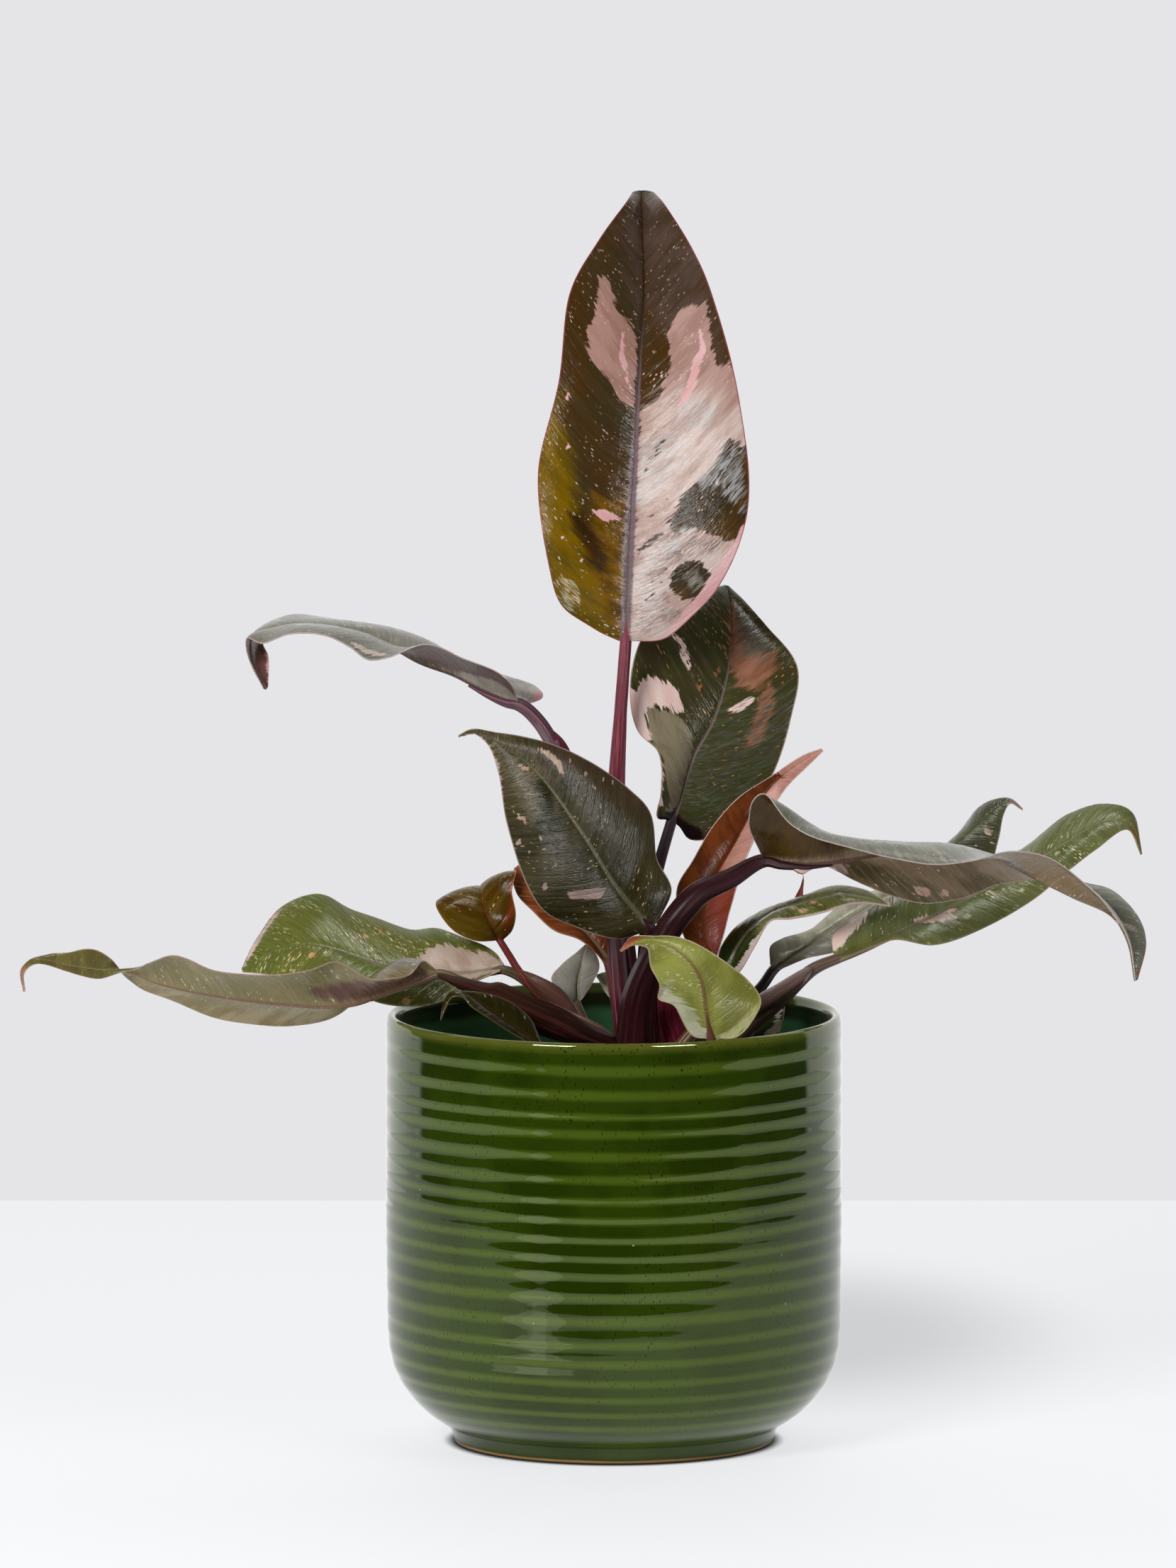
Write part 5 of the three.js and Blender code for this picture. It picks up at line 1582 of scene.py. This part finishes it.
SOIL_TOP, SOIL_MOUND, SOIL_MOUND_RADIUS = 134, 2, 30
SOIL_RADIUS = INNER_RADIUS - 1
SOIL_RINGS, SOIL_SPOKES = 90, 220
CROWN_X, CROWN_Y = 9, 1


def build_soil():
    """The crumbly surface and, below it, the plain body that fills the pot."""
    rng = np.random.default_rng(50)
    radius = np.linspace(0, 1, SOIL_RINGS)[1:] ** 0.9 * SOIL_RADIUS
    turn = np.linspace(0, 2 * math.pi, SOIL_SPOKES, endpoint=False)
    x, y = radius[:, None] * np.cos(turn), radius[:, None] * np.sin(turn)
    mound = SOIL_MOUND * np.clip((SOIL_RADIUS - 10 - radius) / (SOIL_RADIUS - 40), 0, 1)
    z = SOIL_TOP + mound[:, None] - np.clip((radius[:, None] - SOIL_RADIUS + 6) / 6, 0, 1) ** 2
    z = z + 0.8 * wobble(rng, x, y, 16) + 0.5 * wobble(rng, x, y, 6, 9) + 0.35 * wobble(rng, x, y, 2.8, 12)
    top = np.stack([x, y, z], axis=2)
    side = []
    for inset, height in ((0, 131), (0, 51), (4, 31), (14, 16), (25, 9.3)):
        ring = SOIL_RADIUS - inset
        level = np.full(SOIL_SPOKES, height)
        side.append(np.stack([ring * np.cos(turn), ring * np.sin(turn), level], axis=1))
    grid = np.vstack([top, np.array(side)])
    faces = ring_faces(len(grid), SOIL_SPOKES, flip=True)
    made = as_object("soil_bed", grid.reshape(-1, 3), faces, soil_material(), math.radians(180))
    settle(made, "soil", "soil")


def soil_material():
    """Dark crumbs of several browns with paler fibres."""
    s = Shader("soil_crumbs")
    place = s.place()
    crumbs = s.cells(place, 420.0)
    tone = s.mix(s.axes(crumbs.outputs["Color"])[0], (38, 28, 20), (82, 60, 42))
    fibre = s.noise(place, 300.0, detail=5)
    colour = s.mix(s.ramp(fibre, 0.55, 0.75, 0.0, 0.7), tone, (120, 92, 62))
    height = s.plus(s.times(crumbs.outputs["Distance"], -1.0), fibre)
    s.set(Base_Color=colour, Roughness=0.95, Normal=s.bump(height, 0.9 * MM))
    return s.material


# Stem base that the stalks grow from

STEM_ROWS, STEM_SIDES = 26, 48
STEM_RADIUS, STEM_FOOT, STEM_HEIGHT = 15, 116.2, 24.5
STEM_TONES = dict(top=(80, 52, 40), foot=(60, 38, 30), stripe=(120, 80, 70))


def build_stem():
    """A lumpy, rounded stub, mostly under the soil."""
    rng = np.random.default_rng(60)
    shares = np.linspace(0, 1, STEM_ROWS)
    turn = np.linspace(0, 2 * math.pi, STEM_SIDES, endpoint=False)
    profile = STEM_RADIUS * np.clip(1 - np.abs(shares - 0.5) ** 6 * 40, 0.2, 1)
    lumps = 1 + 0.05 * wobble(rng, shares[:, None] * 24, turn[None] * 12, 12)
    size = profile[:, None] * lumps * 0.97
    z = STEM_FOOT + shares[:, None] * STEM_HEIGHT + 0 * turn[None]
    points = np.stack([CROWN_X + size * np.cos(turn), CROWN_Y + size * np.sin(turn), z], axis=2)
    faces = ring_faces(STEM_ROWS, STEM_SIDES)
    made = as_object("stem_base", points.reshape(-1, 3), faces, stalk_material("stem", STEM_TONES, 3))
    run = np.repeat(shares * 24, STEM_SIDES)
    return dress_stalk(made, run, np.tile(turn, STEM_ROWS), np.repeat(shares, STEM_SIDES))


# Floor, lights and camera

TABLE_HALF_WIDTH = 1.08
TABLE_FRONT, TABLE_BACK = -0.47, 0.625
SHADOW_X, SHADOW_Y = (0.075, 0.13), (0.27, 0.24)
WALL_GREY = (229, 229, 232)
WALL_EDGE_LOW, WALL_EDGE_HIGH, ROOM_GLOW, WALL_GLOW = 0.38, 0.46, 0.03, 1.5
GLOW_TURN = -35
GLOW_WEDGE = ((0.03, 0.5), (0.055, 0.46), (0.08, 0.4), (0.11, 0.34), (0.14, 0.28))


def build_table():
    """A white table that glows a little, with painted contact shade under the foot and a soft painted shadow
    behind.
    """
    mesh = bpy.data.meshes.new("table_top")
    w = TABLE_HALF_WIDTH
    corners = [(-w, TABLE_FRONT, 0), (w, TABLE_FRONT, 0), (w, TABLE_BACK, 0), (-w, TABLE_BACK, 0)]
    mesh.from_pydata(corners, [], [(0, 1, 2, 3)])
    s = Shader("table_white")
    # Painted contact shade: dark right under the pot's foot, full brightness a little way out
    open_share = s.ramp(s.size_of(s.place()), 0.0605, 0.0665, 0.02, 1.0)
    x, y, _ = s.axes(s.place())
    (middle_x, reach_x), (middle_y, reach_y) = SHADOW_X, SHADOW_Y
    away = s.vector(
        s.times(s.plus(x, -middle_x), 1 / reach_x), s.times(s.plus(y, -middle_y), 1 / reach_y), 0.0,
    )
    shade = s.ramp(s.size_of(away), 0.25, 1.0, 0.26, 0.0)
    base = s.mix(shade, s.mix(open_share, (20, 20, 22), (146, 147, 150)), (0, 0, 4))
    glow = s.mix(shade, s.mix(open_share, (0, 0, 0), (252, 253, 255)), (0, 0, 8))
    s.set(Base_Color=base, Roughness=0.7, Specular_IOR_Level=0.1)
    s.set(Emission_Color=glow, Emission_Strength=0.685)
    mesh.materials.append(s.material)
    top = bpy.data.objects.new("table_top", mesh)
    bpy.context.scene.collection.objects.link(top)


def build_world():
    """A pale wall behind and a dim room in front; the eye sees the wall's grey all round."""
    world = bpy.data.worlds.new("studio")
    bpy.context.scene.world = world
    world.use_nodes = True
    tree = world.node_tree
    tree.nodes.clear()
    new = tree.nodes.new
    place, parts = new("ShaderNodeTexCoord"), new("ShaderNodeSeparateXYZ")
    tree.links.new(place.outputs["Generated"], parts.inputs[0])
    wall = new("ShaderNodeMapRange")
    wall.interpolation_type = "SMOOTHSTEP"
    for socket, value in zip(wall.inputs[1:5], (WALL_EDGE_LOW, WALL_EDGE_HIGH, ROOM_GLOW, WALL_GLOW)):
        socket.default_value = value
    tree.links.new(parts.outputs[1], wall.inputs[0])
    lit, seen = new("ShaderNodeBackground"), new("ShaderNodeBackground")
    join, path, out = new("ShaderNodeMixShader"), new("ShaderNodeLightPath"), new("ShaderNodeOutputWorld")
    tree.links.new(wall.outputs[0], lit.inputs["Strength"])
    seen.inputs["Color"].default_value = srgb(*WALL_GREY)
    tree.links.new(path.outputs["Is Camera Ray"], join.inputs[0])
    tree.links.new(lit.outputs[0], join.inputs[1])
    tree.links.new(seen.outputs[0], join.inputs[2])
    tree.links.new(join.outputs[0], out.inputs[0])


def add_light(name, kind, azimuth, elevation, distance, size, power, aim=(0, 0, 0.22)):
    """A softbox that looks at the plant. Azimuth 0 is the camera's side, positive to the right."""
    data = bpy.data.lights.new(name, "AREA")
    data.shape = "RECTANGLE"
    data.size, data.size_y = size
    data.energy = power
    a, e = math.radians(azimuth), math.radians(elevation)
    away = Vector((math.sin(a) * math.cos(e), -math.cos(a) * math.cos(e), math.sin(e)))
    made = bpy.data.objects.new(name, data)
    made.location = Vector(aim) + away * distance
    made.rotation_euler = away.to_track_quat("Z", "Y").to_euler()
    made.visible_camera = False
    made.visible_diffuse = kind == "soft"
    made.visible_glossy = kind == "mirrored"
    bpy.context.scene.collection.objects.link(made)
    return made


def lights_only(light, pieces, blockers=None):
    """The light falls on these pieces alone, and only the blockers, if named, can shade them."""
    for role, members in (("receiver", pieces), ("blocker", blockers)):
        if members:
            group = bpy.data.collections.new(f"{light.name}_{role}s")
            for piece in members:
                group.objects.link(piece)
            setattr(light.light_linking, role + "_collection", group)


def build_lights(foliage, pot):
    """Soft light for the tones, and lamps that only show as gloss on the pot or on the leaves."""
    add_light("key", "soft", -30, 26, 1.8, (0.55, 0.6), 22)
    add_light("fill", "soft", 50, 35, 1.8, (1.0, 1.0), 7)
    for name, side in (("left", -1), ("right", 1)):
        rim = add_light("rim_" + name, "mirrored", 34 * side, 35, 1.7, (0.55, 0.4), 30)
        lights_only(rim, [pot], [pot])
        top = add_light("top_" + name, "mirrored", 30 * side, 78, 1.5, (0.25, 0.5), 6)
        lights_only(top, foliage)
    low_left = add_light("low_left", "mirrored", -35, -17, 1.3, (0.75, 0.3), 13, (0, 0, 0.36))
    lights_only(low_left, foliage)
    low_right = add_light("low_right", "mirrored", 57, -14, 1.35, (0.4, 0.25), 9, (0, 0, 0.24))
    lights_only(low_right, foliage)
    for width, reach in GLOW_WEDGE:
        power = 0.95 * math.pi * width * reach
        away = 0.2 + reach / 2
        glow = add_light("glow", "mirrored", GLOW_TURN, 0, away, (width, reach), power, (0, 0, 0.004))
        glow.rotation_euler = (math.pi, 0, math.radians(GLOW_TURN))
        lights_only(glow, [pot])


def build_camera():
    """Far away and nearly without perspective, with the photograph's scale at the pot's axis."""
    data = bpy.data.cameras.new("camera")
    data.sensor_width = SENSOR
    image_high = IMAGE_HEIGHT * PIXEL
    data.lens = SENSOR * CAMERA_DISTANCE / image_high
    data.clip_start, data.clip_end = 0.1, 30
    camera = bpy.data.objects.new("camera", data)
    back = Vector((0, -math.cos(CAMERA_ELEVATION), math.sin(CAMERA_ELEVATION)))
    camera.location = Vector(CAMERA_TARGET) + back * CAMERA_DISTANCE
    camera.rotation_euler = back.to_track_quat("Z", "Y").to_euler()
    bpy.context.scene.collection.objects.link(camera)
    bpy.context.scene.camera = camera


bpy.context.scene.view_settings.view_transform = "Standard"
build_camera()
build_table()
build_world()
pot = build_pot()
build_soil()
foliage = [build_stem()]
for number, (name, leaf) in enumerate(LEAVES.items()):
    foliage.append(Blade(name, leaf, LOOKS[name]).build())
    foliage.append(build_stalk(name, leaf, STALKS[name], number + 1))
    if name in SHEATHS:
        foliage.append(build_sheath(name, seed=number + 31, **SHEATHS[name]))
build_lights(foliage, pot)
